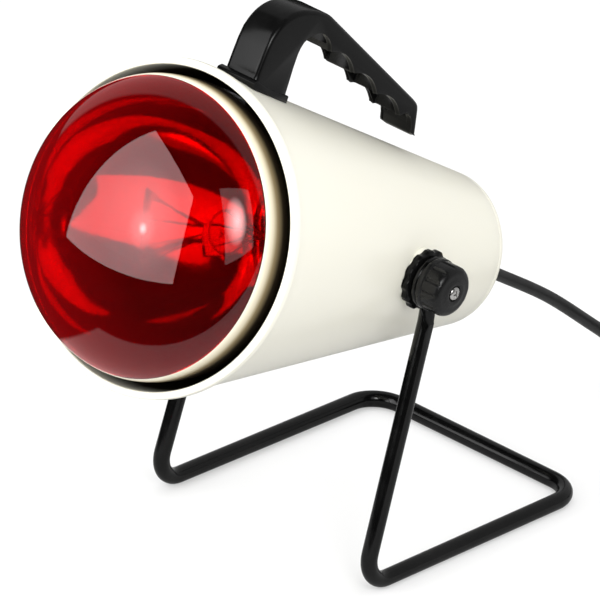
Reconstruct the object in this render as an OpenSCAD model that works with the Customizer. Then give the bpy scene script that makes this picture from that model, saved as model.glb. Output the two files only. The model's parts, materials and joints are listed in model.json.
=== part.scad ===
// Infrared heat therapy lamp: tapered housing with a mirrored red bulb, a hollow
// carrying handle, a tilting pivot with clamp knobs and a bent wire stand.
// Floor at z = 0, the lamp faces -Y, the pivot axis lies along X.

/* [Pose] */
// Upward tilt of the lamp axis at rest, in degrees
head_tilt = 19.9; // [0:0.1:45]
// Height of the pivot axis above the floor
pivot_h = 132.3; // [110:0.1:170]

/* [Housing] */
// Distance of the mouth plane in front of the pivot
mouth_ahead = 118.3; // [100:0.1:140]
// Distance of the rear end behind the pivot
rear_behind = 73.9; // [60:0.1:95]
// Outer radius of the housing just behind the lip
cone_front_r = 67.8; // [67:0.1:72]
// Outer radius of the housing at its rear end
cone_rear_r = 32.0; // [30:0.1:40]
// Wall of the housing
wall = 2.0; // [1.6:0.1:2.4]
// Outer radius of the front lip
lip_r = 69.4; // [69:0.1:74]
// Length of the front lip along the axis
lip_len = 4.0; // [3:0.1:6]
// How far the housing axis lies below the pivot axis
axis_drop = 1.9; // [0:0.1:4]
// Length of the rear cover's rim, seen as a band
cover_band = 2.9; // [2:0.1:5]
// Thickness of the rear cover's plate
cover_t = 2.2; // [1.6:0.1:3]
// Depth of the rear cover's spigot inside the housing
spigot_len = 5.0; // [3:0.1:8]
// Number of vent slots in the rear cover
vent_count = 14; // [8:1:18]
// Width of a vent slot
vent_w = 2.6; // [1.6:0.1:3]
// Inner radius of the ring of vent slots
vent_in_r = 14.5; // [13:0.1:16]
// Outer radius of the ring of vent slots
vent_out_r = 21.0; // [18:0.1:22]
// Radius of the circle of cover screws
cover_screw_pcr = 25.6; // [25:0.1:26]
// Radius of the cover posts inside the housing
post_r = 3.2; // [2.8:0.1:3.6]
// Distance of the bracket's shelf behind the pivot
shelf_behind = 44.5; // [42:0.1:50]
// Thickness of the shelf
shelf_t = 2.0; // [1.5:0.1:3]
// Inner radius of the shelf
shelf_in_r = 27.6; // [27:0.1:28.4]

/* [Pivot] */
// Distance of the pivot boss's flat face from the middle
boss_face_x = 47.8; // [46:0.1:50]
// Radius of the pivot boss
boss_r = 11.8; // [10:0.1:12.5]
// Depth of the pivot boss inwards from its face
boss_depth = 6.0; // [4:0.1:8]
// Radius of the lobed friction disc
disc_r = 12.9; // [12:0.1:15]
// Thickness of the friction disc
disc_t = 3.2; // [2:0.1:4]
// Number of lobes on the friction disc
disc_lobes = 12; // [8:1:16]
// Radius of the scallops between the lobes
lobe_cut_r = 3.6; // [3:0.1:5]
// Depth of the scallops between the lobes
lobe_cut = 0.8; // [0.4:0.1:1.2]
// Radius of the pivot washer
washer_r = 8.5; // [6:0.1:10]
// Thickness of the pivot washer
washer_t = 0.5; // [0.4:0.1:1]
// Radius of the clamp knob
knob_r = 11.2; // [10:0.1:13]
// Length of the clamp knob
knob_len = 12.0; // [10:0.1:16]
// Length of the plain ring at the knob's inner end
knob_ring = 2.4; // [1.5:0.1:4]
// Rounding of the knob's outer edge
knob_round = 3.2; // [1:0.1:4]
// Number of flutes round the knob
knob_flutes = 12; // [8:1:16]
// Radius of a flute
flute_r = 0.8; // [0.5:0.1:1.2]
// Radius of the knob screw's shank
shank_r = 2.5; // [2:0.1:3]
// Radius of the knob screw's head
screw_head_r = 2.9; // [2.6:0.1:4]
// Height of the knob screw's head
screw_head_h = 1.8; // [1.2:0.1:2.4]
// Depth of the recess the head sits in
screw_sink = 1.0; // [0.4:0.1:1.2]
// Width across the flats of the lock nut
nut_flats = 8.0; // [7:0.1:10]
// Height of the lock nut
nut_h = 4.0; // [3:0.1:5]

/* [Stand] */
// Diameter of the stand's wire
wire_d = 7.0; // [5:0.1:9]
// Distance of the wire's centre from the middle, beside the pivot
leg_x = 55.1; // [54:0.1:58]
// Half the distance between the front corners
front_x = 57.9; // [56:0.1:75]
// Half the distance between the rear corners
rear_x = 56.5; // [50:0.1:75]
// How far the front corners lie ahead of the pivot
front_y = 30.3; // [15:0.1:50]
// How far the rear rail lies behind the pivot
rear_y = 105.3; // [90:0.1:130]
// Bend radius of the front corners, at the wire's centre
front_bend = 12.0; // [8:0.1:20]
// Bend radius of the rear corners, at the wire's centre
rear_bend = 14.0; // [8:0.1:25]
// Radius of the flattened eye
eye_r = 11.1; // [9:0.1:12]
// Thickness of the flattened eye
eye_t = 2.5; // [2:0.1:3]
// Radius of the eye's bore
eye_bore_r = 3.2; // [2.8:0.1:4]
// Length over which the round wire runs down to the flat eye
flat_run = 4.5; // [3:0.1:8]

/* [Bulb] */
// Radial gap between the housing's wall and the bulb
bulb_gap = 3.3; // [2:0.1:6]
// Length of the bulb's glass, from the cap to the front
glass_len = 153; // [150:1:156]
// How far the widest circle lies ahead of the mouth plane
bulb_ahead = 2.7; // [0:0.1:6]
// Height of the front dome
dome_h = 36; // [30:0.5:42]
// How far the red coat starts ahead of the widest circle
red_start = 6.5; // [3:0.1:10]
// Thickness of the bulb's glass
glass_t = 1.2; // [0.8:0.1:1.6]
// Radius of the bulb's neck
neck_r = 20.3; // [18:0.1:21]
// Radius of the bulb's screw cap
cap_r = 13.1; // [12.9:0.05:13.2]
// Length of the bulb's screw cap
cap_len = 22; // [20:0.5:24]
// Length of the black glass insulator under the cap
insulator_len = 2.2; // [1.5:0.1:3]
// Radius of the bulb's end contact
tip_r = 4.6; // [4:0.1:5.5]

/* [Lampholder] */
// Outer radius of the ceramic lampholder
holder_r = 20.5; // [18:0.1:22]
// Wall of the metal sleeve
sleeve_t = 0.6; // [0.4:0.1:0.8]
// Depth of the lampholder's floor
holder_floor = 8; // [6:0.5:12]
// Thickness of the steel bracket
bracket_t = 1.5; // [1:0.1:2]
// Radius of the steel bracket
bracket_r = 34.4; // [33:0.1:35]

/* [Handle] */
// Width of the grip
grip_w = 17; // [14:0.5:22]
// Width of the foot
foot_w = 20.5; // [17.5:0.5:26]
// Wall of the hollow grip
grip_wall = 2.3; // [1.8:0.1:3]
// Thickness of the grip's top
grip_top = 3.0; // [2:0.1:4]
// Rounding of the grip's upper edges
grip_round = 2.2; // [1:0.1:2.2]
// Depth of a finger scallop
scallop = 3.2; // [1:0.1:5]
// Number of finger scallops
scallop_count = 4; // [3:1:5]
// Thickness of the ribs inside the grip
rib_t = 1.6; // [1:0.1:2.5]
// Radius of the handle's fixing screws
fix_r = 1.9; // [1.5:0.1:2.4]

/* [Cord] */
// Diameter of the cord
cord_d = 5.4; // [4.5:0.1:6]
// How far the cord leaves below the housing's axis
exit_drop = 8.1; // [6:0.1:9]
// Length of the tapered strain relief
relief_len = 27; // [20:0.5:40]
// Radius of the strain relief at its root
relief_r = 5.6; // [4.8:0.1:6.5]
// Radius of the gland's flange
gland_r = 7.2; // [6.5:0.1:7.8]
// Length of the plug's body
plug_len = 36; // [30:0.5:40]
// Width of the plug's body
plug_w = 26; // [24:0.5:30]
// Thickness of the plug's body
plug_t = 14; // [13:0.1:16]
// Radius of a plug pin
pin_r = 2.0; // [1.9:0.05:2.4]
// Length of a plug pin
pin_len = 19; // [17:0.5:20]
// Distance between the pins
pin_gap = 18.6; // [17.5:0.1:19]

/* [Clearances] */
// Gap between faces that turn against each other
turn_gap = 0.1; // [0.05:0.05:0.2]
// Radial gap of a screw turning in its nut
thread_gap = 0.05; // [0.02:0.01:0.09]
// Gap between pieces that are seated on a curved face
seat_gap = 0.15; // [0.1:0.05:0.3]
// Gap between the cord and the end of its strain relief
cord_gap = 0.4; // [0.3:0.05:0.6]

/* [Hidden] */
$fn = 96;

wire_r = wire_d / 2;
cord_r = cord_d / 2;
// The wire swells a little in its bends
bend_swell = 0.03;
bend_lap = 0.4;

// Radius of the outside of the housing at a distance l ahead of the pivot
lip_back = mouth_ahead - lip_len;
cone_rate = (cone_front_r - cone_rear_r) / (lip_back + rear_behind);
function cone_r(l) = cone_rear_r + (l + rear_behind) * cone_rate;
wall_r = wall * sqrt(1 + cone_rate * cone_rate);
shell_end = cover_band - rear_behind;

// Stack along the pivot axis, from the boss outwards
disc_x = boss_face_x;
washer_x = disc_x + disc_t;
eye_x = washer_x + washer_t + turn_gap;
knob_x = eye_x + eye_t + turn_gap;
knob_end = knob_x + knob_len;
nut_x = boss_face_x - boss_depth - nut_h;

// Bulb stations along the housing axis
bulb_l = mouth_ahead + bulb_ahead;
bulb_r = cone_front_r - wall - bulb_gap;
red_l = bulb_l + red_start;
red_angle = asin(red_start / dome_h);
cap_top = bulb_l + dome_h - glass_len;
cap_low = cap_top - cap_len;
tip_low = cap_low - insulator_len - 1.2;
holder_low = bracket_t - shelf_behind;
holder_top = cap_top - 2;

// Depth of the whole object without its cord, used to centre it over the origin
front_reach = bulb_l * cos(head_tilt) - axis_drop * sin(head_tilt)
  + sqrt(pow(dome_h * cos(head_tilt), 2) + pow(bulb_r * sin(head_tilt), 2));
rear_reach = rear_y + wire_r;
pivot_y = (front_reach - rear_reach) / 2;

// Points of the cord's free stretch behind the strain relief
gland_v = -axis_drop - exit_drop;
relief_end = rear_behind + 3 + relief_len;
function head_y(l, v) = pivot_y - l * cos(head_tilt) + v * sin(head_tilt);
function head_z(l, v) = pivot_h + l * sin(head_tilt) + v * cos(head_tilt);
function head_pt(l, v) = [0, head_y(l, v), head_z(l, v)];
route = [
  [0, 130, 80.7],
  [0, 164, 59.9],
  [0, 197.5, 35.2],
  [0, 224, 15.5],
  [0, 245, 6.5],
  [0, 266, 3]
];

// Loops of the coiled part of the cord, on the floor behind the lamp
coil_turns = 7.5;
coil_out = 43;
coil_step = 5.9;
coil_y = 288;
coil_rings = 24;
coil_sides = 6;
coil_flare = 3.2;
plug_z = plug_t / 2;

// ---------- helpers ----------

// Local axes of the lamp head: x across, y up from the lamp axis, z forwards
module in_head() {
  translate([0, pivot_y, pivot_h])
    rotate([90 - head_tilt, 0, 0])
      children();
}

// The same, centred on the housing's own axis
module on_axis() {
  in_head()
    translate([0, -axis_drop, 0])
      children();
}

// Children drawn along +X from the pivot, on the right or the left side
module on_side(right) {
  in_head()
    mirror([right ? 0 : 1, 0, 0])
      rotate([0, 90, 0])
        children();
}

module ring(r_out, r_in, low, high) {
  translate([0, 0, low])
    difference() {
      cylinder(r = r_out, h = high - low);
      translate([0, 0, -1]) cylinder(r = r_in, h = high - low + 2);
    }
}

module pan_screw(head_r, head_h, shaft_r, len) {
  // Head above z = 0, shaft below, cross recess in the head
  difference() {
    union() {
      cylinder(r = head_r, h = head_h * 0.55);
      translate([0, 0, head_h * 0.55])
        cylinder(r1 = head_r, r2 = head_r * 0.66, h = head_h * 0.45);
      translate([0, 0, -len]) cylinder(r = shaft_r, h = len + 0.1);
    }
    for (a = [0, 90])
      rotate([0, 0, a])
        translate([-head_r * 0.62, -head_r * 0.13, head_h * 0.45])
          cube([head_r * 1.24, head_r * 0.26, head_h]);
  }
}

function unit(v) = v / norm(v);
function mix3(a, b, t) = a + (b - a) * t;
function smooth(t) = let (c = min(1, max(0, t))) c * c * (3 - 2 * c);

// Tube through a list of points, one ring of sides at each
function tube_up(d) = abs(d[2]) > 0.999 ? [1, 0, 0] : [0, 0, 1];
function tube_dir(p, i) =
  i == 0 ? unit(p[1] - p[0]) :
  i == len(p) - 1 ? unit(p[i] - p[i - 1]) :
  unit(unit(p[i] - p[i - 1]) + unit(p[i + 1] - p[i]));
function tube_ring(c, d, r, n) =
  let (s = unit(cross(d, tube_up(d))), u = cross(s, d))
  [for (k = [0:n - 1]) let (a = 360 * (k + 0.5) / n) c + r * (cos(a) * s + sin(a) * u)];
module tube(p, r, n) {
  m = len(p);
  pts = [for (i = [0:m - 1]) each tube_ring(p[i], tube_dir(p, i), r, n)];
  sides = [for (i = [0:m - 2]) for (k = [0:n - 1])
    let (a = i * n + k, b = i * n + (k + 1) % n)
    each [[a, b, b + n], [a, b + n, a + n]]];
  low = [for (k = [1:n - 2]) [0, k + 1, k]];
  top = (m - 1) * n;
  high = [for (k = [1:n - 2]) [top, top + k, top + k + 1]];
  polyhedron(points = pts, faces = concat(sides, low, high));
}

// Smooth curve through the points, steps to each span
function spline(p, i, t) =
  let (a = p[max(0, i - 1)], b = p[i], c = p[i + 1], d = p[min(len(p) - 1, i + 2)])
  0.5 * (2 * b + (c - a) * t + (2 * a - 5 * b + 4 * c - d) * t * t
    + (3 * b - a - 3 * c + d) * t * t * t);
function curve(p, steps) = concat(
  [for (i = [0:len(p) - 2]) for (k = [0:steps - 1]) spline(p, i, k / steps)],
  [p[len(p) - 1]]);

// ---------- stand ----------

// One bend of the wire at q, between the directions to p and to s
module wire_bend(p, q, s, bend) {
  a = unit(p - q);
  b = unit(s - q);
  half = acos(a * b) / 2;
  c = q + unit(a + b) * bend / sin(half);
  x = unit(q + a * bend / tan(half) - c);
  e = unit(q + b * bend / tan(half) - c);
  z = unit(cross(x, e));
  y = cross(z, x);
  multmatrix([[x[0], y[0], z[0], c[0]], [x[1], y[1], z[1], c[1]],
    [x[2], y[2], z[2], c[2]], [0, 0, 0, 1]])
    rotate_extrude(angle = 180 - 2 * half)
      translate([bend, 0]) circle(r = wire_r);
}

// A straight run of wire from p to q, its ends let into the bends by a hair
module wire_run(p, q) {
  d = q - p;
  l = norm(d);
  translate(p)
    rotate([0, acos(d[2] / l), atan2(d[1], d[0])])
      translate([0, 0, -bend_lap])
        cylinder(r = wire_r - bend_swell, h = l + 2 * bend_lap);
}

// How much of a run the bend at q takes
function bend_cut(p, q, s, bend) = bend / tan(acos(unit(p - q) * unit(s - q)) / 2);

module half_stand(m) {
  top = [m * leg_x, pivot_y, pivot_h];
  front = [m * front_x, pivot_y - front_y, wire_r];
  rear = [m * rear_x, pivot_y + rear_y, wire_r];
  mid = [0, pivot_y + rear_y, wire_r];
  cut_f = bend_cut(top, front, rear, front_bend);
  cut_r = bend_cut(front, rear, mid, rear_bend);
  difference() {
    union() {
      wire_run(top, front + unit(top - front) * cut_f);
      translate([m * eye_x, pivot_y, pivot_h])
        rotate([0, m * 90, 0]) cylinder(r = eye_r, h = eye_t);
    }
    // the wire's end is pressed flat, on the side away from the housing
    translate([m * (eye_x + eye_t), pivot_y, pivot_h])
      rotate([atan2(-front_y, pivot_h - wire_r), 0, 0])
        rotate([90, 0, 0])
          mirror([m < 0 ? 1 : 0, 0, 0])
            translate([0, 0, -wire_d])
              linear_extrude(2 * wire_d)
                polygon([[0, wire_d], [0, -eye_r - 0.4],
                  [wire_d, -eye_r - 0.4 - flat_run * wire_d / (wire_d - eye_t)],
                  [2 * wire_d, wire_d]]);
    translate([m * (eye_x - 1), pivot_y, pivot_h])
      rotate([0, m * 90, 0]) cylinder(r = eye_bore_r, h = wire_d + 2);
  }
  wire_bend(top, front, rear, front_bend);
  wire_run(front + unit(rear - front) * cut_f, rear + unit(front - rear) * cut_r);
  wire_bend(front, rear, mid, rear_bend);
  wire_run(rear + unit(mid - rear) * cut_r, mid);
}

module wire_stand() {
  color([0.06, 0.06, 0.06]) {
    half_stand(1);
    half_stand(-1);
  }
}

// ---------- housing ----------

module housing_shell() {
  color([0.93, 0.91, 0.83])
    difference() {
      union() {
        on_axis()
          rotate_extrude()
            polygon([
              [cone_r(shell_end) - wall_r, shell_end],
              [cone_r(shell_end), shell_end],
              [cone_front_r, lip_back],
              [lip_r - 0.5, lip_back],
              [lip_r, lip_back + 0.6],
              [lip_r, mouth_ahead - 1.2],
              [lip_r - 1, mouth_ahead],
              [cone_r(mouth_ahead) - wall_r - 0.2, mouth_ahead],
              [cone_r(mouth_ahead) - wall_r - 0.8, mouth_ahead - 0.6],
              [cone_r(lip_back) - wall_r, lip_back]]);
        on_axis()
          ring(cone_r(-shelf_behind) - wall_r / 2, shelf_in_r,
            -shelf_behind - shelf_t, -shelf_behind);
        on_axis()
          for (a = [30, 150, 270])
            rotate([0, 0, a])
              translate([cover_screw_pcr, 0, shell_end + 0.3])
                cylinder(r = post_r, h = -shelf_behind - shell_end - 0.8);
        for (right = [true, false])
          on_side(right)
            translate([0, 0, boss_face_x - boss_depth])
              cylinder(r = boss_r, h = boss_depth);
      }
      // flat seat for the friction disc and a hole for the knob screw
      for (right = [true, false])
        on_side(right) {
          translate([0, 0, boss_face_x]) cylinder(r = disc_r + 0.4, h = 20);
          translate([0, 0, boss_face_x - boss_depth - 1])
            cylinder(r = shank_r + 0.3, h = boss_depth + 2);
        }
      // pilot holes of the cover screws and of the bracket screws
      on_axis()
        for (a = [30, 150, 270]) {
          rotate([0, 0, a])
            translate([cover_screw_pcr, 0, shell_end - 1]) cylinder(r = 1.5, h = 14);
          rotate([0, 0, a + 60])
            translate([bracket_r - 3.6, 0, -shelf_behind - shelf_t - 1])
              cylinder(r = 1.5, h = shelf_t + 2);
        }
      // holes of the handle's fixing screws
      for (l = [fix_low, fix_high])
        in_head()
          translate([0, cone_r(l) - axis_drop - 8, l])
            rotate([-90, 0, 0]) cylinder(r = fix_r + 0.2, h = 12);
    }
}

module rear_cover() {
  color([0.93, 0.91, 0.83])
    on_axis()
      difference() {
        union() {
          rotate_extrude()
            polygon([
              [0, -rear_behind + 0.4],
              [cone_rear_r - 7, -rear_behind],
              [cone_rear_r - 0.8, -rear_behind],
              [cone_r(-rear_behind + 0.8), -rear_behind + 0.8],
              [cone_r(shell_end - turn_gap), shell_end - turn_gap],
              [cone_r(shell_end) - wall_r - seat_gap, shell_end - turn_gap],
              [cone_r(shell_end) - wall_r - seat_gap, shell_end + spigot_len],
              [cone_r(shell_end) - wall_r - seat_gap - 1.4, shell_end + spigot_len],
              [cone_r(shell_end) - wall_r - seat_gap - 1.4, -rear_behind + cover_t],
              [0, -rear_behind + cover_t]]);
        }
        for (i = [0:vent_count - 1])
          rotate([0, 0, 360 * (i + 0.5) / vent_count])
            translate([vent_in_r, -vent_w / 2, -rear_behind - 1])
              cube([vent_out_r - vent_in_r, vent_w, cover_t + 3]);
        for (a = [30, 150, 270])
          rotate([0, 0, a]) {
            translate([cover_screw_pcr, 0, -rear_behind - 1]) cylinder(r = 1.8, h = 20);
            translate([cover_screw_pcr, 0, -rear_behind + cover_t])
              cylinder(r = post_r + 0.25, h = 20);
          }
        translate([0, -exit_drop, -rear_behind - 1]) cylinder(r = relief_r + 0.1, h = 20);
      }
}

module cover_screws() {
  color([0.75, 0.75, 0.76])
    on_axis()
      for (a = [30, 150, 270])
        rotate([0, 0, a])
          translate([cover_screw_pcr, 0, -rear_behind])
            mirror([0, 0, 1]) pan_screw(2.6, 1.5, 1.4, 12);
}

// ---------- lampholder ----------

module lampholder_bracket() {
  color([0.7, 0.71, 0.72])
    on_axis()
      difference() {
        translate([0, 0, -shelf_behind]) cylinder(r = bracket_r, h = bracket_t);
        for (a = [0:60:300])
          rotate([0, 0, a])
            translate([25.4, 0, -shelf_behind - 1])
              cylinder(r = a % 120 == 0 ? 4.2 : 2.6, h = bracket_t + 2);
        for (a = [90, 210, 330])
          rotate([0, 0, a])
            translate([bracket_r - 3.6, 0, -shelf_behind - 1])
              cylinder(r = 1.7, h = bracket_t + 2);
        for (x = [-holder_screw_x, holder_screw_x])
          translate([x, 0, -shelf_behind - 1]) cylinder(r = 1.7, h = bracket_t + 2);
        for (x = [-lead_x, lead_x])
          translate([x, 0, -shelf_behind - 1]) cylinder(r = 2.2, h = bracket_t + 2);
      }
}

module bracket_screws() {
  color([0.75, 0.75, 0.76])
    on_axis() {
      for (a = [90, 210, 330])
        rotate([0, 0, a])
          translate([bracket_r - 3.6, 0, -shelf_behind + bracket_t])
            pan_screw(2.6, 1.5, 1.4, 6);
      for (x = [-holder_screw_x, holder_screw_x])
        translate([x, 0, -shelf_behind])
          mirror([0, 0, 1]) pan_screw(2.6, 1.5, 1.4, 6);
    }
}

module lampholder_body() {
  color([0.9, 0.9, 0.87])
    on_axis()
      difference() {
        rotate_extrude()
          polygon([
            [0, holder_low], [holder_r - 3, holder_low],
            [holder_r - 1.2, holder_low + 1.6], [holder_r - 1.2, holder_top - 14],
            [holder_r, holder_top - 12], [holder_r, holder_top - 1.5],
            [holder_r - 1.5, holder_top], [cap_r + sleeve_t + 0.5, holder_top],
            [cap_r + sleeve_t + 0.5, holder_low + holder_floor],
            [0, holder_low + holder_floor]]);
        for (x = [-holder_screw_x, holder_screw_x])
          translate([x, 0, holder_low - 1]) cylinder(r = 1.5, h = 6.5);
        for (x = [-lead_x, lead_x])
          translate([x, 0, holder_low - 1]) cylinder(r = 1.3, h = holder_floor + 2);
      }
}

module lampholder_sleeve() {
  color([0.8, 0.78, 0.7])
    on_axis()
      ring(cap_r + 0.25 + sleeve_t, cap_r + 0.25, holder_low + holder_floor, holder_top - 1);
}

module lampholder_contact() {
  // Spring tongue that bears on the bulb's end contact
  color([0.8, 0.65, 0.3])
    on_axis() {
      translate([-3, -9, holder_low + holder_floor]) cube([6, 14, 0.6]);
      translate([-3, -2.5, tip_low - 0.9]) cube([6, 5, 0.8]);
      translate([-3, -2.5, holder_low + holder_floor + 0.3])
        cube([6, 0.8, tip_low - 0.5 - holder_low - holder_floor]);
    }
}

// ---------- bulb ----------

// Half-section of the mirrored part, measured ahead of the cap's top
mirror_run = red_l - cap_top;
function mirror_r(t) =
  t < 0.13 ? cap_r - 0.3 + (neck_r - cap_r + 0.3) * sin(90 * t / 0.13) :
  neck_r + (bulb_r - neck_r) * pow(sin(90 * (t - 0.13) / 0.87), 1.28);
bulb_steps = 22;

module bulb_reflector() {
  top_t = (bulb_l - cap_top) / mirror_run;
  outer = concat(
    [for (i = [0:bulb_steps]) let (t = i / bulb_steps)
      [mirror_r(t), cap_top + t * (bulb_l - cap_top)]],
    [for (i = [1:3]) let (a = red_angle * i / 3)
      [bulb_r * cos(a), bulb_l + dome_h * sin(a)]]);
  inner = [for (p = outer) [p[0] - glass_t, p[1]]];
  color([0.85, 0.85, 0.86])
    on_axis()
      rotate_extrude()
        polygon(concat(outer, [for (i = [len(inner) - 1:-1:0]) inner[i]]));
}

module bulb_front_glass() {
  steps = 20;
  outer = [for (i = [0:steps]) let (a = red_angle + (90 - red_angle) * i / steps)
    [max(0, bulb_r * cos(a)), bulb_l + dome_h * sin(a)]];
  in_r = bulb_r - glass_t;
  in_h = dome_h - glass_t;
  in_a = asin(red_start / in_h);
  inner = [for (i = [0:steps]) let (a = 90 - (90 - in_a) * i / steps)
    [max(0, in_r * cos(a)), bulb_l + in_h * sin(a)]];
  color([0.7, 0.03, 0.04, 0.8])
    on_axis()
      rotate_extrude()
        polygon(concat(outer, inner));
}

module bulb_cap() {
  // Screw cap with rounded thread turns
  turns = 5;
  pitch = 3.6;
  color([0.8, 0.79, 0.75])
    on_axis()
      difference() {
        union() {
          translate([0, 0, cap_low + 2]) cylinder(r = cap_r - 0.9, h = cap_len - 2);
          translate([0, 0, cap_low]) cylinder(r1 = 9, r2 = cap_r - 0.9, h = 2.1);
          for (i = [0:turns - 1])
            translate([0, 0, cap_low + 3.4 + i * pitch])
              rotate_extrude()
                translate([cap_r - 1.2, 0]) circle(r = 1.2, $fn = 16);
        }
        translate([0, 0, cap_low + 2]) cylinder(r = cap_r - 1.6, h = cap_len);
      }
}

module bulb_cap_insulator() {
  color([0.05, 0.05, 0.06])
    on_axis()
      translate([0, 0, cap_low - insulator_len])
        cylinder(r1 = tip_r, r2 = 9, h = insulator_len);
}

module bulb_cap_contact() {
  color([0.75, 0.72, 0.65])
    on_axis()
      translate([0, 0, tip_low])
        cylinder(r1 = tip_r - 1.2, r2 = tip_r, h = cap_low - insulator_len - tip_low);
}

stem_top = cap_top + 46;

module bulb_stem() {
  color([0.8, 0.85, 0.85])
    on_axis() {
      translate([0, 0, cap_top + 0.4]) cylinder(r1 = cap_r - 1.8, r2 = 6.5, h = 10);
      translate([0, 0, cap_top + 10]) cylinder(r = 5, h = 28);
      translate([-7, -1.8, cap_top + 36]) cube([14, 3.6, stem_top - cap_top - 36]);
    }
}

fil_l = stem_top + 22;
fil_r = 9;

module filament_leads() {
  color([0.6, 0.6, 0.6])
    on_axis() {
      for (x = [-1, 1])
        tube([[x * 5, 0, stem_top + 0.05], [x * 5.4, 0, stem_top + 6],
          [x * fil_r, 0, fil_l - 5], [x * fil_r, 0, fil_l - 0.7]], 0.45, 8);
      for (a = [60, 120, 240, 300])
        tube([[2.4 * cos(a), 1.4 * sin(a), stem_top + 0.1],
          [fil_r * 0.6 * cos(a), fil_r * 0.6 * sin(a), fil_l - 9],
          [fil_r * cos(a), fil_r * sin(a), fil_l - 0.7]], 0.25, 6);
    }
}

module filament() {
  color([0.5, 0.5, 0.5])
    on_axis()
      translate([0, 0, fil_l])
        rotate_extrude(angle = 350)
          translate([fil_r, 0]) circle(r = 0.6, $fn = 16);
}

// ---------- handle ----------

// Side view points, x ahead of the pivot and y above the pivot axis
foot_back = 75.2;
foot_front = 100.5;
foot_round = 0.8;
leg_front = 98.2;
fix_low = 80;
fix_high = 90;
arch_front = [94.3, 87.4];
arch_top = [75, 97];
grip_far = [59.5, 94.8];
grip_end = [-12, 63.2];
grip_tip = [-16.8, 60.3];
tip_low_pt = [-20.6, 47.4];
tip_in = [-15.6, 48.9];
cusp_last = [-5, 55.6];
cusp_first = [54.3, 80.2];
inner_top = [65.5, 87.4];
leg_back_top = [75.6, 79];

// Finger scallops between the last and the first cusp
cusp_dir = (cusp_first - cusp_last) / (scallop_count - 1);
cusp_n = unit([-cusp_dir[1], cusp_dir[0]]);
scallop_steps = 6;
function scallop_pt(i, t) = cusp_last + cusp_dir * (i + t)
  + cusp_n * scallop * sin(180 * t);

top_line = concat(
  [[leg_front, cone_r(leg_front) - axis_drop - 4], [97.8, 68.2], [97, 79],
    arch_front],
  [for (i = [1:5]) let (t = i / 6) (1 - t) * (1 - t) * arch_front
    + 2 * t * (1 - t) * [88.6, 96.9] + t * t * arch_top],
  [arch_top, [70.6, 97], [66.4, 96.6], [62.8, 95.9], grip_far],
  [for (i = [1:4]) mix3(grip_far, grip_end, i / 5)],
  [grip_end, [-15, 61.8], grip_tip, tip_low_pt]);
under_line = concat(
  [tip_in, [-14.4, 52.6], [-11.8, 55.7], [-8.4, 57]],
  [for (i = [0:scallop_count - 2]) for (k = [0:scallop_steps - 1])
    scallop_pt(i, k / scallop_steps)],
  [cusp_first, [57.5, 84.5], [61, 86.8], inner_top, [70.4, 86.4],
    [74, 83.2], leg_back_top, [75.8, 72.8],
    [foot_back, cone_r(foot_back) - axis_drop - 4]]);
outline = concat(top_line, under_line);
top_n = len(top_line);

// Inward normal of the outline at each point; only the upper run is rounded
function out_dir(i) =
  let (n = len(outline), a = outline[(i + n - 1) % n], b = outline[(i + 1) % n],
    d = unit(b - a))
  [-d[1], d[0]];
function inset_pt(i, d) = outline[i] + (i > 0 && i < top_n - 1 ? d : 0) * out_dir(i);

module grip_solid() {
  n = len(outline);
  arc = [0, 35, 65, 90];
  left = [for (a = arc) [-grip_w / 2 + grip_round * (1 - cos(a)),
    grip_round * (1 - sin(a))]];
  layers = concat(left, [for (i = [len(left) - 1:-1:0]) [-left[i][0], left[i][1]]]);
  m = len(layers);
  pts = [for (q = layers) for (i = [0:n - 1]) let (p = inset_pt(i, q[1]))
    [q[0], p[1], p[0]]];
  sides = [for (j = [0:m - 2]) for (i = [0:n - 1])
    let (a = j * n + i, b = j * n + (i + 1) % n)
    each [[a, b, b + n], [a, b + n, a + n]]];
  first = [[for (i = [n - 1:-1:0]) i]];
  last = [[for (i = [0:n - 1]) (m - 1) * n + i]];
  polyhedron(points = pts, faces = concat(sides, first, last));
}

// Hollow of the grip, in cells between the cross ribs
module grip_hollow() {
  cells = [[56, 71], [34.3 + rib_t / 2, 56 - rib_t], [12, 34.3 - rib_t / 2],
    [-6, 12 - rib_t], [-14.2, -6 - rib_t]];
  for (c = cells)
    rotate([0, -90, 0])
      translate([0, 0, -(grip_w / 2 - grip_wall)])
        linear_extrude(grip_w - 2 * grip_wall)
          intersection() {
            polygon(concat(
              [for (p = [arch_top + [-5, 0], grip_far, grip_end, grip_tip + [3, 1]])
                p - [0, grip_top + 0.4]],
              [[-17.5 + grip_wall, 44], [60, 44], [71, 80], [71, 92]]));
            translate([c[0], 30]) square([c[1] - c[0], 80]);
          }
}

// Top line of the foot, from its back to its front
foot_line = [[foot_back + 0.5, 61.4], [79, 62.2], [83, 62.9], [86.5, 63.7],
  [89.5, 64.7], [92.5, 66], [95.2, 67.2], [97.4, 68.2],
  [foot_front - foot_round, 67.6]];

// One section of the foot, with its upper edge rounded off
module foot_slice(p) {
  for (v = [51, p[1] - foot_round])
    translate([-foot_w / 2, v, p[0]])
      rotate([0, 90, 0]) cylinder(r = foot_round, h = foot_w, $fn = 12);
}

module handle() {
  color([0.05, 0.05, 0.05])
    in_head()
      difference() {
        union() {
          grip_solid();
          // foot that spreads over the housing
          for (i = [0:len(foot_line) - 2])
            hull() {
              foot_slice(foot_line[i]);
              foot_slice(foot_line[i + 1]);
            }
        }
        grip_hollow();
        translate([0, -axis_drop, 0])
          rotate_extrude()
            polygon([[0, 40], [cone_r(40) + seat_gap, 40],
              [cone_r(lip_back) + seat_gap, lip_back], [0, lip_back]]);
        for (l = [fix_low, fix_high])
          translate([0, cone_r(l) - axis_drop - 6, l])
            rotate([-90, 0, 0]) cylinder(r = fix_r + 0.1, h = fix_depth + 6.5);
      }
}

plate_gap = 0.15;
plate_t = 1.0;
fix_depth = 14;
fix_head_r = 3.2;
fix_head_h = 1.2;

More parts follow.
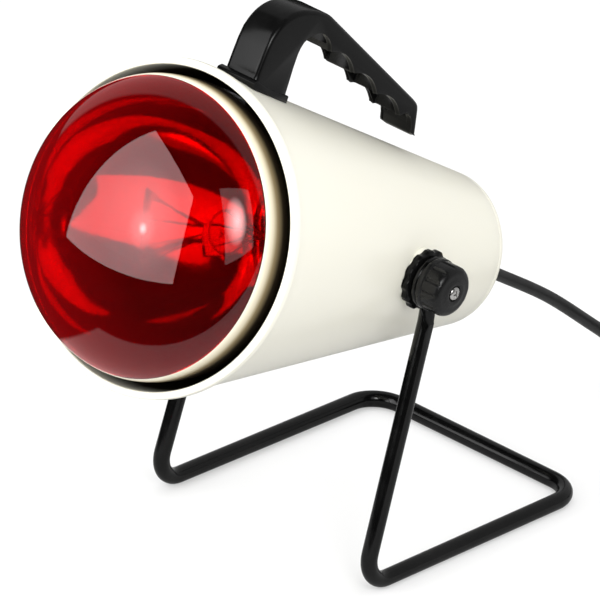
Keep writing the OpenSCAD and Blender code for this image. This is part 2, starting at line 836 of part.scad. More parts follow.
module handle_plate() {
  // Steel plate inside the housing, under the handle's screws
  color([0.7, 0.71, 0.72])
    in_head()
      difference() {
        translate([0, -axis_drop, 0])
          intersection() {
            difference() {
              rotate_extrude()
                polygon([
                  [cone_r(70) - wall_r - plate_gap - plate_t, 70],
                  [cone_r(70) - wall_r - plate_gap, 70],
                  [cone_r(104) - wall_r - plate_gap, 104],
                  [cone_r(104) - wall_r - plate_gap - plate_t, 104]]);
            }
            translate([-7, 30, fix_low - 6])
              cube([14, cone_front_r, fix_high - fix_low + 12]);
          }
        for (l = [fix_low, fix_high])
          translate([0, cone_r(l) - axis_drop - 10, l])
            rotate([-90, 0, 0]) cylinder(r = fix_r + 0.2, h = 20);
      }
}

module handle_screws() {
  color([0.75, 0.75, 0.76])
    in_head()
      for (l = [fix_low, fix_high])
        translate([0, cone_r(l) - axis_drop - wall_r - plate_gap - plate_t - 0.72, l])
          rotate([90, 0, 0]) pan_screw(fix_head_r, fix_head_h, fix_r, fix_depth);
}

// ---------- pivot ----------

module friction_disc(right) {
  color([0.05, 0.05, 0.05])
    on_side(right)
      translate([0, 0, disc_x])
        difference() {
          union() {
            cylinder(r = disc_r - 0.5, h = disc_t);
            cylinder(r = disc_r, h = disc_t - 0.5);
          }
          for (i = [0:disc_lobes - 1])
            rotate([0, 0, 360 * i / disc_lobes])
              translate([disc_r + lobe_cut_r - lobe_cut, 0, -1])
                cylinder(r = lobe_cut_r, h = disc_t + 2);
          translate([0, 0, -1]) cylinder(r = shank_r + 0.3, h = disc_t + 2);
        }
}
module friction_disc_left() { friction_disc(false); }
module friction_disc_right() { friction_disc(true); }

module pivot_washer(right) {
  color([0.65, 0.66, 0.67])
    on_side(right)
      ring(washer_r, shank_r + 0.3, washer_x, washer_x + washer_t);
}
module pivot_washer_left() { pivot_washer(false); }
module pivot_washer_right() { pivot_washer(true); }

module lock_nut(right) {
  color([0.7, 0.71, 0.72])
    on_side(right)
      translate([0, 0, nut_x])
        difference() {
          cylinder(r = nut_flats / sqrt(3), h = nut_h, $fn = 6);
          translate([0, 0, -1]) cylinder(r = shank_r + thread_gap, h = nut_h + 2);
        }
}
module lock_nut_left() { lock_nut(false); }
module lock_nut_right() { lock_nut(true); }

module knob(right) {
  color([0.05, 0.05, 0.05])
    on_side(right)
      difference() {
        rotate_extrude()
          polygon(concat(
            [[0, knob_x], [knob_r, knob_x], [knob_r + 0.1, knob_x + 0.4],
              [knob_r + 0.1, knob_x + knob_ring - 0.4], [knob_r - 0.3, knob_x + knob_ring]],
            [for (a = [0:15:90])
              [knob_r - 0.3 - knob_round + knob_round * cos(a),
                knob_end - 0.5 - knob_round + knob_round * sin(a)]],
            [[4.5, knob_end], [0, knob_end]]));
        for (i = [0:knob_flutes - 1])
          rotate([0, 0, 360 * (i + 0.5) / knob_flutes])
            translate([knob_r + flute_r - 1.0, 0, knob_x + knob_ring + 0.2])
              cylinder(r = flute_r, h = knob_len);
        translate([0, 0, knob_end - screw_sink])
          cylinder(r = screw_head_r + 0.3, h = screw_sink + 1);
        translate([0, 0, knob_x - 1]) cylinder(r = shank_r + 0.03, h = knob_len + 2);
      }
}
module knob_left() { knob(false); }
module knob_right() { knob(true); }

module knob_screw(right) {
  color([0.78, 0.78, 0.79])
    on_side(right)
      translate([0, 0, knob_end - screw_sink])
        pan_screw(screw_head_r, screw_head_h, shank_r,
          knob_end - screw_sink - nut_x + 1.5);
}
module knob_screw_left() { knob_screw(false); }
module knob_screw_right() { knob_screw(true); }

// ---------- cord ----------

module cord_gland() {
  color([0.05, 0.05, 0.05])
    on_axis()
      translate([0, -exit_drop, 0])
        difference() {
          union() {
            ring(gland_r, 1, -rear_behind - 3, -rear_behind);
            ring(relief_r, 1, -rear_behind - 3, -rear_behind + 5);
            ring(gland_r - 0.2, 1, -rear_behind + cover_t + 0.1, -rear_behind + 5);
            translate([0, 0, -rear_behind - 3 - relief_len])
              cylinder(r1 = cord_r + 1, r2 = relief_r, h = relief_len + 0.1);
          }
          // cuts that let the relief bend
          for (i = [0:4])
            translate([0, 0, -rear_behind - 8 - i * (relief_len - 6) / 5])
              for (s = [-1, 1])
                translate([s * 4.6 - 1.6, -10, 0]) cube([3.2, 20, 1.5]);
          translate([0, 0, -rear_behind - 60]) cylinder(r = cord_r + 0.05, h = 90);
        }
}

module cord_inner() {
  // The sheathed cord inside the strain relief
  color([0.05, 0.05, 0.05])
    on_axis()
      translate([0, -exit_drop, -relief_end])
        cylinder(r = cord_r, h = relief_end - shelf_behind - 12);
}

module cord_clamp() {
  // Bridge that grips the sheath behind the gland, held by two small screws
  color([0.9, 0.9, 0.87])
    on_axis()
      translate([0, -exit_drop, -shelf_behind - 19])
        difference() {
          translate([-9, -4.6, 0]) cube([18, 9.2, 5]);
          translate([0, 0, -1]) cylinder(r = cord_r + 0.05, h = 7);
          for (x = [-6.4, 6.4])
            translate([x, 0, -1]) cylinder(r = 1.2, h = 7);
        }
}

lead_x = 8.5;
lead_r = 1.1;
holder_screw_x = 15.5;

module lead(m) {
  color(m > 0 ? [0.45, 0.25, 0.12] : [0.15, 0.3, 0.6])
    on_axis()
      tube(curve([[m * 1.3, -exit_drop, -shelf_behind - 11.8],
        [m * 1.6, -exit_drop, -shelf_behind - 9],
        [m * 5, -exit_drop * 0.6, -shelf_behind - 5.5],
        [m * lead_x, 0, -shelf_behind - 2],
        [m * lead_x, 0, -shelf_behind + 2],
        [m * lead_x, 0, holder_low + holder_floor - 1]], 4), lead_r, 8);
}
module lead_live() { lead(1); }
module lead_neutral() { lead(-1); }

start_pt = head_pt(-relief_end - cord_gap, gland_v);
start_dir = unit(head_pt(-relief_end - 10, gland_v) - start_pt);
stretch_line = curve(concat([start_pt + start_dir * cord_d], route,
  [[0, coil_y - cord_d, cord_r]]), 4);
stretch_pts = concat([start_pt],
  [for (q = stretch_line) [q[0], q[1], max(q[2], cord_r)]]);

module cord_stretch() {
  color([0.05, 0.05, 0.05])
    tube(stretch_pts, cord_r, 10);
}

function coil_pt(t) =
  let (back = coil_turns - t,
    r = coil_out - coil_step * min(t, back) + coil_flare * smooth((0.35 - back) / 0.35),
    a = 180 - 360 * t,
    up = cord_r + coil_step * smooth((t - coil_turns / 2 + 0.25) / 0.5),
    z = up + (plug_z - cord_r - coil_step) * smooth((0.15 - back) / 0.15))
  [coil_out + r * cos(a), coil_y + r * sin(a), z];
coil_count = coil_turns * coil_rings;
coil_end = coil_pt(coil_turns);
coil_pts = concat([[0, coil_y - cord_d, cord_r]],
  [for (i = [0:coil_count]) coil_pt(i / coil_rings)],
  [coil_end + [0, -cord_d, 0]]);

// Least gap of the coil to itself, measured between points more than half a turn apart
coil_gap = min([for (i = [0:len(coil_pts) - 1])
  for (j = [i + 12:1:min(len(coil_pts) - 1, i + 100)])
    norm(coil_pts[i] - mix3(coil_pts[j], coil_pts[min(j + 1, len(coil_pts) - 1)], 0.5))
  ]) - cord_d;
coil_gap_pts = min([for (i = [0:len(coil_pts) - 1])
  for (j = [i + 12:1:len(coil_pts) - 1]) norm(coil_pts[i] - coil_pts[j])]) - cord_d;
echo(least_gap_of_coil = min(coil_gap, coil_gap_pts));
function path_len(p, i = 0) = i >= len(p) - 1 ? 0 : norm(p[i + 1] - p[i]) + path_len(p, i + 1);
echo(stretch = path_len(stretch_pts), coil = path_len(coil_pts), pivot_y = pivot_y);

module cord_coil() {
  color([0.05, 0.05, 0.05])
    tube(coil_pts, cord_r, coil_sides);
}

plug_x = coil_end[0];
plug_y = coil_end[1] - cord_d;
plug_relief_len = 22;

// Children drawn with +z along the plug's axis, from the cord towards the pins
module on_plug() {
  translate([plug_x, plug_y, plug_z])
    rotate([90, 0, 0])
      children();
}

module plug_relief() {
  color([0.05, 0.05, 0.05])
    on_plug()
      difference() {
        cylinder(r1 = cord_r + 0.8, r2 = 5.2, h = plug_relief_len);
        for (i = [0:3])
          translate([0, 0, 4 + i * 4.2])
            for (s = [-1, 1])
              translate([s * 4.9 - 1.5, -8, 0]) cube([3, 16, 1.5]);
      }
}

module plug_body() {
  // Flat two-pin plug: the outline narrows in a waist towards the cord
  color([0.05, 0.05, 0.05])
    on_plug()
      intersection() {
        translate([0, plug_t / 2, 0])
          rotate([90, 0, 0])
            linear_extrude(plug_t)
              polygon([
                [-7, plug_relief_len], [7, plug_relief_len],
                [plug_w * 0.34, plug_relief_len + 5],
                [plug_w * 0.36, plug_relief_len + plug_len * 0.42],
                [plug_w / 2 - 1, plug_relief_len + plug_len * 0.66],
                [plug_w / 2, plug_relief_len + plug_len * 0.74],
                [plug_w / 2, plug_relief_len + plug_len],
                [-plug_w / 2, plug_relief_len + plug_len],
                [-plug_w / 2, plug_relief_len + plug_len * 0.74],
                [-plug_w / 2 + 1, plug_relief_len + plug_len * 0.66],
                [-plug_w * 0.36, plug_relief_len + plug_len * 0.42],
                [-plug_w * 0.34, plug_relief_len + 5]]);
        // section with full sides
        linear_extrude(plug_relief_len + plug_len + 1)
          union() {
            for (s = [-1, 1])
              translate([s * (plug_w / 2 - plug_t / 2), 0]) circle(r = plug_t / 2);
            square([plug_w - plug_t, plug_t], center = true);
          }
      }
}

module plug_pins() {
  color([0.8, 0.8, 0.8])
    on_plug()
      for (s = [-1, 1])
        translate([s * pin_gap / 2, 0, plug_relief_len + plug_len]) {
          cylinder(r = pin_r, h = pin_len - 1.2);
          translate([0, 0, pin_len - 1.2]) cylinder(r1 = pin_r, r2 = pin_r - 0.9, h = 1.2);
        }
}

wire_stand();
housing_shell();
rear_cover();
cover_screws();
lampholder_bracket();
bracket_screws();
lampholder_body();
lampholder_sleeve();
lampholder_contact();
bulb_front_glass();
bulb_reflector();
bulb_cap();
bulb_cap_insulator();
bulb_cap_contact();
bulb_stem();
filament_leads();
filament();
handle();
handle_plate();
handle_screws();
friction_disc_left();
friction_disc_right();
pivot_washer_left();
pivot_washer_right();
lock_nut_left();
lock_nut_right();
knob_left();
knob_right();
knob_screw_left();
knob_screw_right();
cord_gland();
cord_clamp();
cord_inner();
lead_live();
lead_neutral();
cord_stretch();
cord_coil();
plug_relief();
plug_body();
plug_pins();
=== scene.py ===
"""Looks of an infrared heat lamp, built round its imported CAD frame.

Tables and local shapes are in millimetres; HEAD, AXIS and pivot_side() turn
them into the frame's metres.
"""

import json
import math

import bmesh
import bpy
from mathutils import Matrix, Vector

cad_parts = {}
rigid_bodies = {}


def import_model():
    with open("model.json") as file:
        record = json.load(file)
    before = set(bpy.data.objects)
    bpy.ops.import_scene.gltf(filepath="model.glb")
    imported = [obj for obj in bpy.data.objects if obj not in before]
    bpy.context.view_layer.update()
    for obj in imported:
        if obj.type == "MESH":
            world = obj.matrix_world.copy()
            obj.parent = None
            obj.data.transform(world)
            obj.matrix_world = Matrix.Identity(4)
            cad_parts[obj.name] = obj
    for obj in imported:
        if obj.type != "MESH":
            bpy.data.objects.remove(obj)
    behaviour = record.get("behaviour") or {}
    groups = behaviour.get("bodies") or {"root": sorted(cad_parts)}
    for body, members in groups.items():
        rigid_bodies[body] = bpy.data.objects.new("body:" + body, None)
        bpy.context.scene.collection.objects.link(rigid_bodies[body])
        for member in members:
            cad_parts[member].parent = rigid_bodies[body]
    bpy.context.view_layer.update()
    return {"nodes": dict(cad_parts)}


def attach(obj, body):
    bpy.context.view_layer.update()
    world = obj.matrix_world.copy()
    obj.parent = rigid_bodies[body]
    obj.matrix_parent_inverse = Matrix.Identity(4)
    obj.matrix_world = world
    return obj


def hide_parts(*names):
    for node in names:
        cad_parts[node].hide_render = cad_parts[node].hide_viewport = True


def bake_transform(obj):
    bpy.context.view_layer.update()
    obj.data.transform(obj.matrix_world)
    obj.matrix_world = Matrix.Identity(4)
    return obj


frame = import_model()
scene = bpy.context.scene

# ---------------------------------------------------------------- sizes, mm

MM = 0.001
TILT = math.radians(19.9)
PIVOT = Vector((0, 22.154, 132.3))
AXIS_DROP = 1.9

MOUTH, LIP_BACK, SHELL_END, REAR = 118.3, 114.3, -71.0, -73.9
CONE_FRONT, CONE_REAR, LIP_R = 67.8, 32.0, 69.4
CONE_RATE = (CONE_FRONT - CONE_REAR) / (LIP_BACK - REAR)
WALL = 2.0 * math.sqrt(1 + CONE_RATE**2)
SHELF, SHELF_IN_R = -44.5, 27.6
COVER_SCREWS, SCREW_RING, SCREW_START = 3, 25.6, 30
VENTS, VENT_RING = 14, 17.75

BULB_R, BULB_L, DOME_H, RED_START = 62.5, 121.0, 36.0, 6.5
CAP_TOP, CAP_R, NECK_R, GLASS = 4.0, 13.1, 20.3, 1.2

BOSS_X, BOSS_R, DISC_R, DISC_T = 47.8, 11.8, 12.9, 3.2
KNOB_X, KNOB_LEN, KNOB_R, KNOB_RING = 54.2, 12.0, 11.2, 2.4
SHANK_R, EYE_X, EYE_T, EYE_R, EYE_BORE = 2.5, 51.6, 2.5, 11.1, 3.2

WIRE_R = 3.5
LEG_X, FRONT_X, REAR_X = 55.1, 57.9, 56.5
FRONT_Y, REAR_Y, FRONT_BEND, REAR_BEND = 30.3, 105.3, 12.0, 14.0

GRIP_W, FOOT_W, GRIP_WALL, GRIP_ROUND = 17.0, 20.5, 2.3, 2.2

CORD_R, EXIT_DROP, RELIEF_LEN, RELIEF_R = 2.7, 8.1, 27.0, 5.6
COIL_TURNS, COIL_OUT, COIL_STEP, COIL_Y = 7.5, 43.0, 5.9, 288.0
PLUG_LEN, PLUG_T, PLUG_RELIEF = 36.0, 14.0, 22.0
PIN_R, PIN_GAP, PIN_LEN = 2.0, 18.6, 19.0


def cone_r(ahead):
    """Outer radius of the housing at a distance ahead of the pivot."""
    return CONE_REAR + (ahead - REAR) * CONE_RATE


def head_point(x, up, ahead):
    """Frame point in mm of a point given in the lamp head's own axes."""
    c, s = math.cos(TILT), math.sin(TILT)
    return PIVOT + Vector((x, up * s - ahead * c, up * c + ahead * s))


def axes(x, y, z, origin):
    """Placing matrix from millimetres on three unit axes to metres."""
    turn = Matrix((x, y, z)).transposed().to_4x4()
    return Matrix.Translation(Vector(origin) * MM) @ turn @ Matrix.Scale(MM, 4)


ACROSS = Vector((1, 0, 0))
UPWARD = Vector((0, math.sin(TILT), math.cos(TILT)))
FORWARD = Vector((0, -math.cos(TILT), math.sin(TILT)))
WORLD = Matrix.Scale(MM, 4)
HEAD = axes(ACROSS, UPWARD, FORWARD, PIVOT)
AXIS = HEAD @ Matrix.Translation((0, -AXIS_DROP, 0))
# side profiles: x ahead of the pivot, y above it, z across
PROFILE = axes(FORWARD, UPWARD, -ACROSS, PIVOT)


def pivot_side(side):
    """Local z runs outwards along the pivot axis, side is 1 or -1."""
    return axes(-side * FORWARD, UPWARD, side * ACROSS, PIVOT)


# -------------------------------------------------------------------- camera

CAM_AZ, CAM_EL, CAM_ROLL = (math.radians(a) for a in (39.619, 26.593, 5.647))
FOCAL_PX, PX_PER_MM, FRAME_PX = 20000, 2.4466, 600
CAM_TARGET, CAM_SHIFT = Vector((0, 22.154, 100)), (-11.248, 2.473)


def set_camera():
    """Long lens at the place from which the outline fits the photograph."""
    ca, sa = math.cos(CAM_AZ), math.sin(CAM_AZ)
    ce, se = math.cos(CAM_EL), math.sin(CAM_EL)
    back = Vector((sa * ce, -ca * ce, se))
    right = Vector((ca, sa, 0))
    up = back.cross(right)
    cr, sr = math.cos(CAM_ROLL), math.sin(CAM_ROLL)
    x, y = right * cr + up * sr, up * cr - right * sr
    place = CAM_TARGET + back * (FOCAL_PX / PX_PER_MM)
    place += x * CAM_SHIFT[0] + y * CAM_SHIFT[1]
    data = bpy.data.cameras.new("camera")
    data.sensor_width = 36
    data.lens = FOCAL_PX * 36 / FRAME_PX
    data.clip_start, data.clip_end = 1, 60
    camera = bpy.data.objects.new("camera", data)
    turn = Matrix((x, y, back)).transposed().to_4x4()
    camera.matrix_world = Matrix.Translation(place * MM) @ turn
    scene.collection.objects.link(camera)
    scene.camera = camera


set_camera()

# ------------------------------------------------------------- node helpers


def put(tree, kind, **values):
    """A node with properties and socket values set by name, or linked."""
    node = tree.nodes.new(kind)
    for name, value in values.items():
        if name.startswith("p_"):
            setattr(node, name[2:], value)
    for name, value in values.items():
        if name.startswith("p_"):
            continue
        key = int(name[1:]) if name[0] == "i" and name[1:].isdigit() else None
        socket = node.inputs[key if key is not None else name.replace("_", " ")]
        if isinstance(value, bpy.types.NodeSocket):
            tree.links.new(value, socket)
        else:
            socket.default_value = value
    return node


def open_group(name, kind, inputs, outputs):
    """A new node group with its named sockets, and its two end nodes."""
    tree = bpy.data.node_groups.new(name, kind)
    for label, socket, value in inputs:
        made = tree.interface.new_socket(
            name=label, in_out="INPUT", socket_type="NodeSocket" + socket
        )
        if value is not None:
            made.default_value = value
    for label, socket in outputs:
        tree.interface.new_socket(
            name=label, in_out="OUTPUT", socket_type="NodeSocket" + socket
        )
    return tree, tree.nodes.new("NodeGroupInput"), tree.nodes.new("NodeGroupOutput")


def math_node(tree, operation, a, b=0.0, clamp=False):
    return put(
        tree, "ShaderNodeMath", p_operation=operation, p_use_clamp=clamp, i0=a, i1=b
    ).outputs[0]


def remap(tree, value, low, high, to_low=0.0, to_high=1.0):
    return put(
        tree,
        "ShaderNodeMapRange",
        Value=value,
        From_Min=low,
        From_Max=high,
        To_Min=to_low,
        To_Max=to_high,
    ).outputs[0]


def mixed(tree, factor, a, b):
    node = tree.nodes.new("ShaderNodeMix")
    node.data_type = "RGBA"
    for index, value in ((0, factor), (6, a), (7, b)):
        if isinstance(value, bpy.types.NodeSocket):
            tree.links.new(value, node.inputs[index])
        else:
            node.inputs[index].default_value = value
    return node.outputs[2]


# --------------------------------------------------------- shared effects


def build_tone_drift():
    """Slow, soft change between two colours, with a few fine specks."""
    tree, given, out = open_group(
        "tone_drift",
        "ShaderNodeTree",
        [
            ("Vector", "Vector", None),
            ("Main Colour", "Color", (0.5, 0.5, 0.5, 1)),
            ("Second Colour", "Color", (0.4, 0.4, 0.4, 1)),
            ("Drift Scale", "Float", 20.0),
            ("Speck Colour", "Color", (0.3, 0.3, 0.3, 1)),
            ("Speck Scale", "Float", 900.0),
            ("Speck Amount", "Float", 0.1),
        ],
        [("Colour", "Color")],
    )
    drift = put(
        tree,
        "ShaderNodeTexNoise",
        Vector=given.outputs["Vector"],
        Scale=given.outputs["Drift Scale"],
        Detail=3.0,
        Roughness=0.55,
    )
    slow = remap(tree, drift.outputs[0], 0.35, 0.65)
    colour = mixed(
        tree, slow, given.outputs["Main Colour"], given.outputs["Second Colour"]
    )
    specks = put(
        tree,
        "ShaderNodeTexVoronoi",
        Vector=given.outputs["Vector"],
        Scale=given.outputs["Speck Scale"],
    )
    dots = remap(tree, specks.outputs["Distance"], 0.12, 0.05)
    patch = put(
        tree,
        "ShaderNodeTexNoise",
        Vector=given.outputs["Vector"],
        Scale=given.outputs["Drift Scale"],
        Detail=1.0,
    )
    sparse = math_node(
        tree, "MULTIPLY", dots, remap(tree, patch.outputs[0], 0.45, 0.6)
    )
    amount = math_node(tree, "MULTIPLY", sparse, given.outputs["Speck Amount"], True)
    final = mixed(tree, amount, colour, given.outputs["Speck Colour"])
    tree.links.new(final, out.inputs[0])
    return tree


def build_surface_grain():
    """Height and roughness of a moulded, cast or drawn surface."""
    tree, given, out = open_group(
        "surface_grain",
        "ShaderNodeTree",
        [
            ("Vector", "Vector", None),
            ("Fine Scale", "Float", 1500.0),
            ("Wave Scale", "Float", 60.0),
            ("Wave Share", "Float", 0.3),
            ("Rough Low", "Float", 0.3),
            ("Rough High", "Float", 0.4),
        ],
        [("Height", "Float"), ("Roughness", "Float")],
    )
    fine = put(
        tree,
        "ShaderNodeTexNoise",
        Vector=given.outputs["Vector"],
        Scale=given.outputs["Fine Scale"],
        Detail=2.0,
    )
    wave = put(
        tree,
        "ShaderNodeTexNoise",
        Vector=given.outputs["Vector"],
        Scale=given.outputs["Wave Scale"],
        Detail=2.0,
    )
    height = put(
        tree,
        "ShaderNodeMix",
        i0=given.outputs["Wave Share"],
        i2=fine.outputs[0],
        i3=wave.outputs[0],
    )
    tree.links.new(height.outputs[0], out.inputs["Height"])
    rough = put(
        tree,
        "ShaderNodeMapRange",
        Value=wave.outputs[0],
        From_Min=0.3,
        From_Max=0.7,
        To_Min=given.outputs["Rough Low"],
        To_Max=given.outputs["Rough High"],
    )
    tree.links.new(rough.outputs[0], out.inputs["Roughness"])
    return tree


def build_edge_wear():
    """Mask of rubbed edges, broken up by noise."""
    tree, given, out = open_group(
        "edge_wear",
        "ShaderNodeTree",
        [
            ("Vector", "Vector", None),
            ("Width", "Float", 0.0005),
            ("Break Scale", "Float", 300.0),
            ("Amount", "Float", 0.5),
        ],
        [("Mask", "Float")],
    )
    soft = put(tree, "ShaderNodeBevel", p_samples=4, Radius=given.outputs["Width"])
    plain = tree.nodes.new("ShaderNodeNewGeometry")
    dot = put(
        tree,
        "ShaderNodeVectorMath",
        p_operation="DOT_PRODUCT",
        i0=soft.outputs[0],
        i1=plain.outputs["Normal"],
    )
    edge = remap(tree, dot.outputs["Value"], 0.995, 0.85)
    breaks = put(
        tree,
        "ShaderNodeTexNoise",
        Vector=given.outputs["Vector"],
        Scale=given.outputs["Break Scale"],
        Detail=3.0,
    )
    patchy = math_node(
        tree, "MULTIPLY", edge, remap(tree, breaks.outputs[0], 0.4, 0.6)
    )
    mask = math_node(tree, "MULTIPLY", patchy, given.outputs["Amount"], True)
    tree.links.new(mask, out.inputs[0])
    return tree


def build_settled_dust():
    """Mask of dust that settles on faces that look up."""
    tree, given, out = open_group(
        "settled_dust",
        "ShaderNodeTree",
        [
            ("Vector", "Vector", None),
            ("Scale", "Float", 120.0),
            ("Amount", "Float", 0.1),
        ],
        [("Mask", "Float")],
    )
    plain = tree.nodes.new("ShaderNodeNewGeometry")
    split = put(tree, "ShaderNodeSeparateXYZ", i0=plain.outputs["Normal"])
    up = remap(tree, split.outputs["Z"], 0.5, 1.0)
    spots = put(
        tree,
        "ShaderNodeTexNoise",
        Vector=given.outputs["Vector"],
        Scale=given.outputs["Scale"],
        Detail=5.0,
        Roughness=0.7,
    )
    patchy = math_node(tree, "MULTIPLY", up, remap(tree, spots.outputs[0], 0.45, 0.75))
    mask = math_node(tree, "MULTIPLY", patchy, given.outputs["Amount"], True)
    tree.links.new(mask, out.inputs[0])
    return tree


TONE = build_tone_drift()
GRAIN = build_surface_grain()
WEAR = build_edge_wear()
DUST = build_settled_dust()

# ------------------------------------------------------------ mesh helpers


def rounded(corners, steps=5):
    """Closed outline from (x, y, radius) corners, each turned into an arc."""
    outline = []
    count = len(corners)
    for i, (x, y, radius) in enumerate(corners):
        corner = Vector((x, y))
        to_last = Vector(corners[i - 1][:2]) - corner
        to_next = Vector(corners[(i + 1) % count][:2]) - corner
        if radius <= 0:
            outline.append((x, y))
            continue
        a, b = to_last.normalized(), to_next.normalized()
        half = a.angle(b) / 2
        cut = min(radius / math.tan(half), 0.49 * to_last.length, 0.49 * to_next.length)
        radius = cut * math.tan(half)
        centre = corner + (a + b).normalized() * (radius / math.sin(half))
        first, last = corner + a * cut - centre, corner + b * cut - centre
        start = math.atan2(first.y, first.x)
        sweep = (math.atan2(last.y, last.x) - start + math.pi) % math.tau - math.pi
        for k in range(steps + 1):
            angle = start + sweep * k / steps
            outline.append(
                (centre.x + radius * math.cos(angle), centre.y + radius * math.sin(angle))
            )
    return outline


def circle(bm, radius, z, count):
    """Ring of vertices round local z."""
    turn = [math.tau * k / count for k in range(count)]
    return [bm.verts.new((radius * math.cos(t), radius * math.sin(t), z)) for t in turn]


def finished(name, bm, place, merge=1e-3):
    """Object from a bmesh that is placed first and then closed."""
    if place is not None:
        bm.transform(place)
    return as_object(name, close_up(bm, merge))


def lathe(name, section, count, low=0.0, place=None, merge=1e-3):
    """Turns a closed half-section of (radius, height) points round local z."""
    bm = bmesh.new()
    rings = []
    for r, z in section:
        if r < 1e-6:
            rings.append([bm.verts.new((0, 0, z + low))])
        else:
            rings.append(circle(bm, r, z + low, count))
    bridge_rings(bm, rings, count, closed=True)
    return finished(name, bm, place, merge)


def drum(name, radius, low, high, count, place=None):
    """Plain closed cylinder round local z."""
    section = [(0, low), (radius, low), (radius, high), (0, high)]
    return lathe(name, section, count, place=place)


def bridge_rings(bm, rings, count, closed=False):
    """Faces between each ring and the next; a ring of one vertex is a tip."""
    follow = rings[1:] + rings[:1] if closed else rings[1:]
    for a, b in zip(rings, follow):
        for k in range(count):
            j = (k + 1) % count
            quad = [a[k % len(a)], a[j % len(a)], b[j % len(b)], b[k % len(b)]]
            face = list(dict.fromkeys(quad))
            if len(face) > 2:
                bm.faces.new(face)


def slab(name, outline, low, high, place=None):
    """Straight prism on a closed outline of (x, y) points."""
    bm = bmesh.new()
    bottom = [bm.verts.new((x, y, low)) for x, y in outline]
    top = [bm.verts.new((x, y, high)) for x, y in outline]
    bm.faces.new(bottom)
    bm.faces.new(top)
    bridge_rings(bm, [bottom, top], len(outline))
    return finished(name, bm, place)


def plate(left, bottom, right, top, radius=0):
    """Rectangle with rounded corners, as a closed outline."""
    corners = [(left, bottom), (right, bottom), (right, top), (left, top)]
    return rounded([(x, y, radius) for x, y in corners])


def arc_points(a, corner, b, steps):
    """Points of the curve from a to b that is drawn towards a corner."""
    points = []
    for i in range(steps + 1):
        t = i / steps
        points.append(
            (1 - t) ** 2 * Vector(a) + 2 * t * (1 - t) * Vector(corner) + t * t * Vector(b)
        )
    return points


def smooth(t):
    """Eased step from 0 to 1."""
    t = min(1.0, max(0.0, t))
    return t * t * (3 - 2 * t)


def spline(points, steps):
    """Smooth curve through the points, with steps to each span."""
    points = [Vector(p) for p in points]
    line = []
    for i in range(len(points) - 1):
        a, b = points[max(0, i - 1)], points[i]
        c, d = points[i + 1], points[min(len(points) - 1, i + 2)]
        for k in range(steps):
            t = k / steps
            line.append(
                0.5
                * (
                    2 * b
                    + (c - a) * t
                    + (2 * a - 5 * b + 4 * c - d) * t**2
                    + (3 * b - a - 3 * c + d) * t**3
                )
            )
    return line + [points[-1]]


def close_up(bm, merge=1e-3):
    """Merges doubles and turns all faces outwards."""
    bmesh.ops.remove_doubles(bm, verts=bm.verts, dist=merge)
    bmesh.ops.recalc_face_normals(bm, faces=bm.faces)
    return bm


def as_object(name, bm):
    """Linked object from a bmesh, which is used up."""
    mesh = bpy.data.meshes.new(name)
    bm.to_mesh(mesh)
    bm.free()
    made = bpy.data.objects.new(name, mesh)
    scene.collection.objects.link(made)
    return made


def discard(*objects):
    """Removes helper objects with their meshes."""
    for old in objects:
        data = old.data
        bpy.data.objects.remove(old)
        if data is not None and data.users == 0:
            bpy.data.batch_remove([data])


def bake(made):
    """Applies all modifiers by taking the evaluated mesh."""
    bpy.context.view_layer.update()
    graph = bpy.context.evaluated_depsgraph_get()
    mesh = bpy.data.meshes.new_from_object(made.evaluated_get(graph))
    made.modifiers.clear()
    old, made.data = made.data, mesh
    bpy.data.batch_remove([old])
    mesh.name = made.name
    return made


def carve(made, cutter, operation="DIFFERENCE"):
    """Exact cut or union with another closed mesh, which is used up."""
    step = made.modifiers.new(operation.lower(), "BOOLEAN")
    step.operation, step.object, step.solver = operation, cutter, "EXACT"
    bake(made)
    discard(cutter)
    return made


def soften(made, width, angle, segments=2):
    """Rounds the sharp edges off, width in the mesh's own unit."""
    step = made.modifiers.new("soften", "BEVEL")
    step.width, step.segments, step.limit_method = width, segments, "ANGLE"
    step.angle_limit = math.radians(angle)
    step.use_clamp_overlap = True
    step.miter_outer = "MITER_ARC"
    return bake(made)


def shade(made, crease):
    """Smooth shading with sharp edges above the crease angle in degrees."""
    mesh = made.data
    mesh.polygons.foreach_set("use_smooth", [True] * len(mesh.polygons))
    mesh.set_sharp_from_angle(angle=math.radians(crease))
    return made


def join(name, parts):
    """One mesh from several, all with their place already in their mesh."""
    bm = bmesh.new()
    for part in parts:
        bm.from_mesh(part.data)
    discard(*parts)
    return as_object(name, bm)


def settle(made, place, body, finish, hides, crease):
    """Places a finished piece in metres, gives it its finish and its body."""
    if place is not None:
        made.data.transform(place)
    if finish is not None:
        made.data.materials.clear()
        made.data.materials.append(finish)
        for face in made.data.polygons:
            face.material_index = 0
    shade(made, crease)
    if body is not None:
        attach(made, body)
    if hides:
        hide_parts(*hides)
    return made


def second_finish(made, finish, chosen):
    """Another finish on the faces for which chosen(place, normal) holds.

    Place and normal are in the axes of the housing cone, in millimetres.
    """
    made.data.materials.append(finish)
    to_axis = AXIS.inverted()
    for face in made.data.polygons:
        place = to_axis @ face.center
        if chosen(place, to_axis @ (face.center + face.normal * MM) - place):
            face.material_index = 1


# ------------------------------------------------------ geometry node trees


def open_geometry(name, inputs):
    """A new geometry tree with one output."""
    return open_group(name, "GeometryNodeTree", inputs, [("Geometry", "Geometry")])


def scatter(tree, given, points, **values):
    """Copies of the tree's template on points."""
    shape = put(tree, "GeometryNodeObjectInfo", i0=given.outputs["Template"])
    return put(
        tree,
        "GeometryNodeInstanceOnPoints",
        Points=points,
        Instance=shape.outputs["Geometry"],
        **values,
    ).outputs[0]


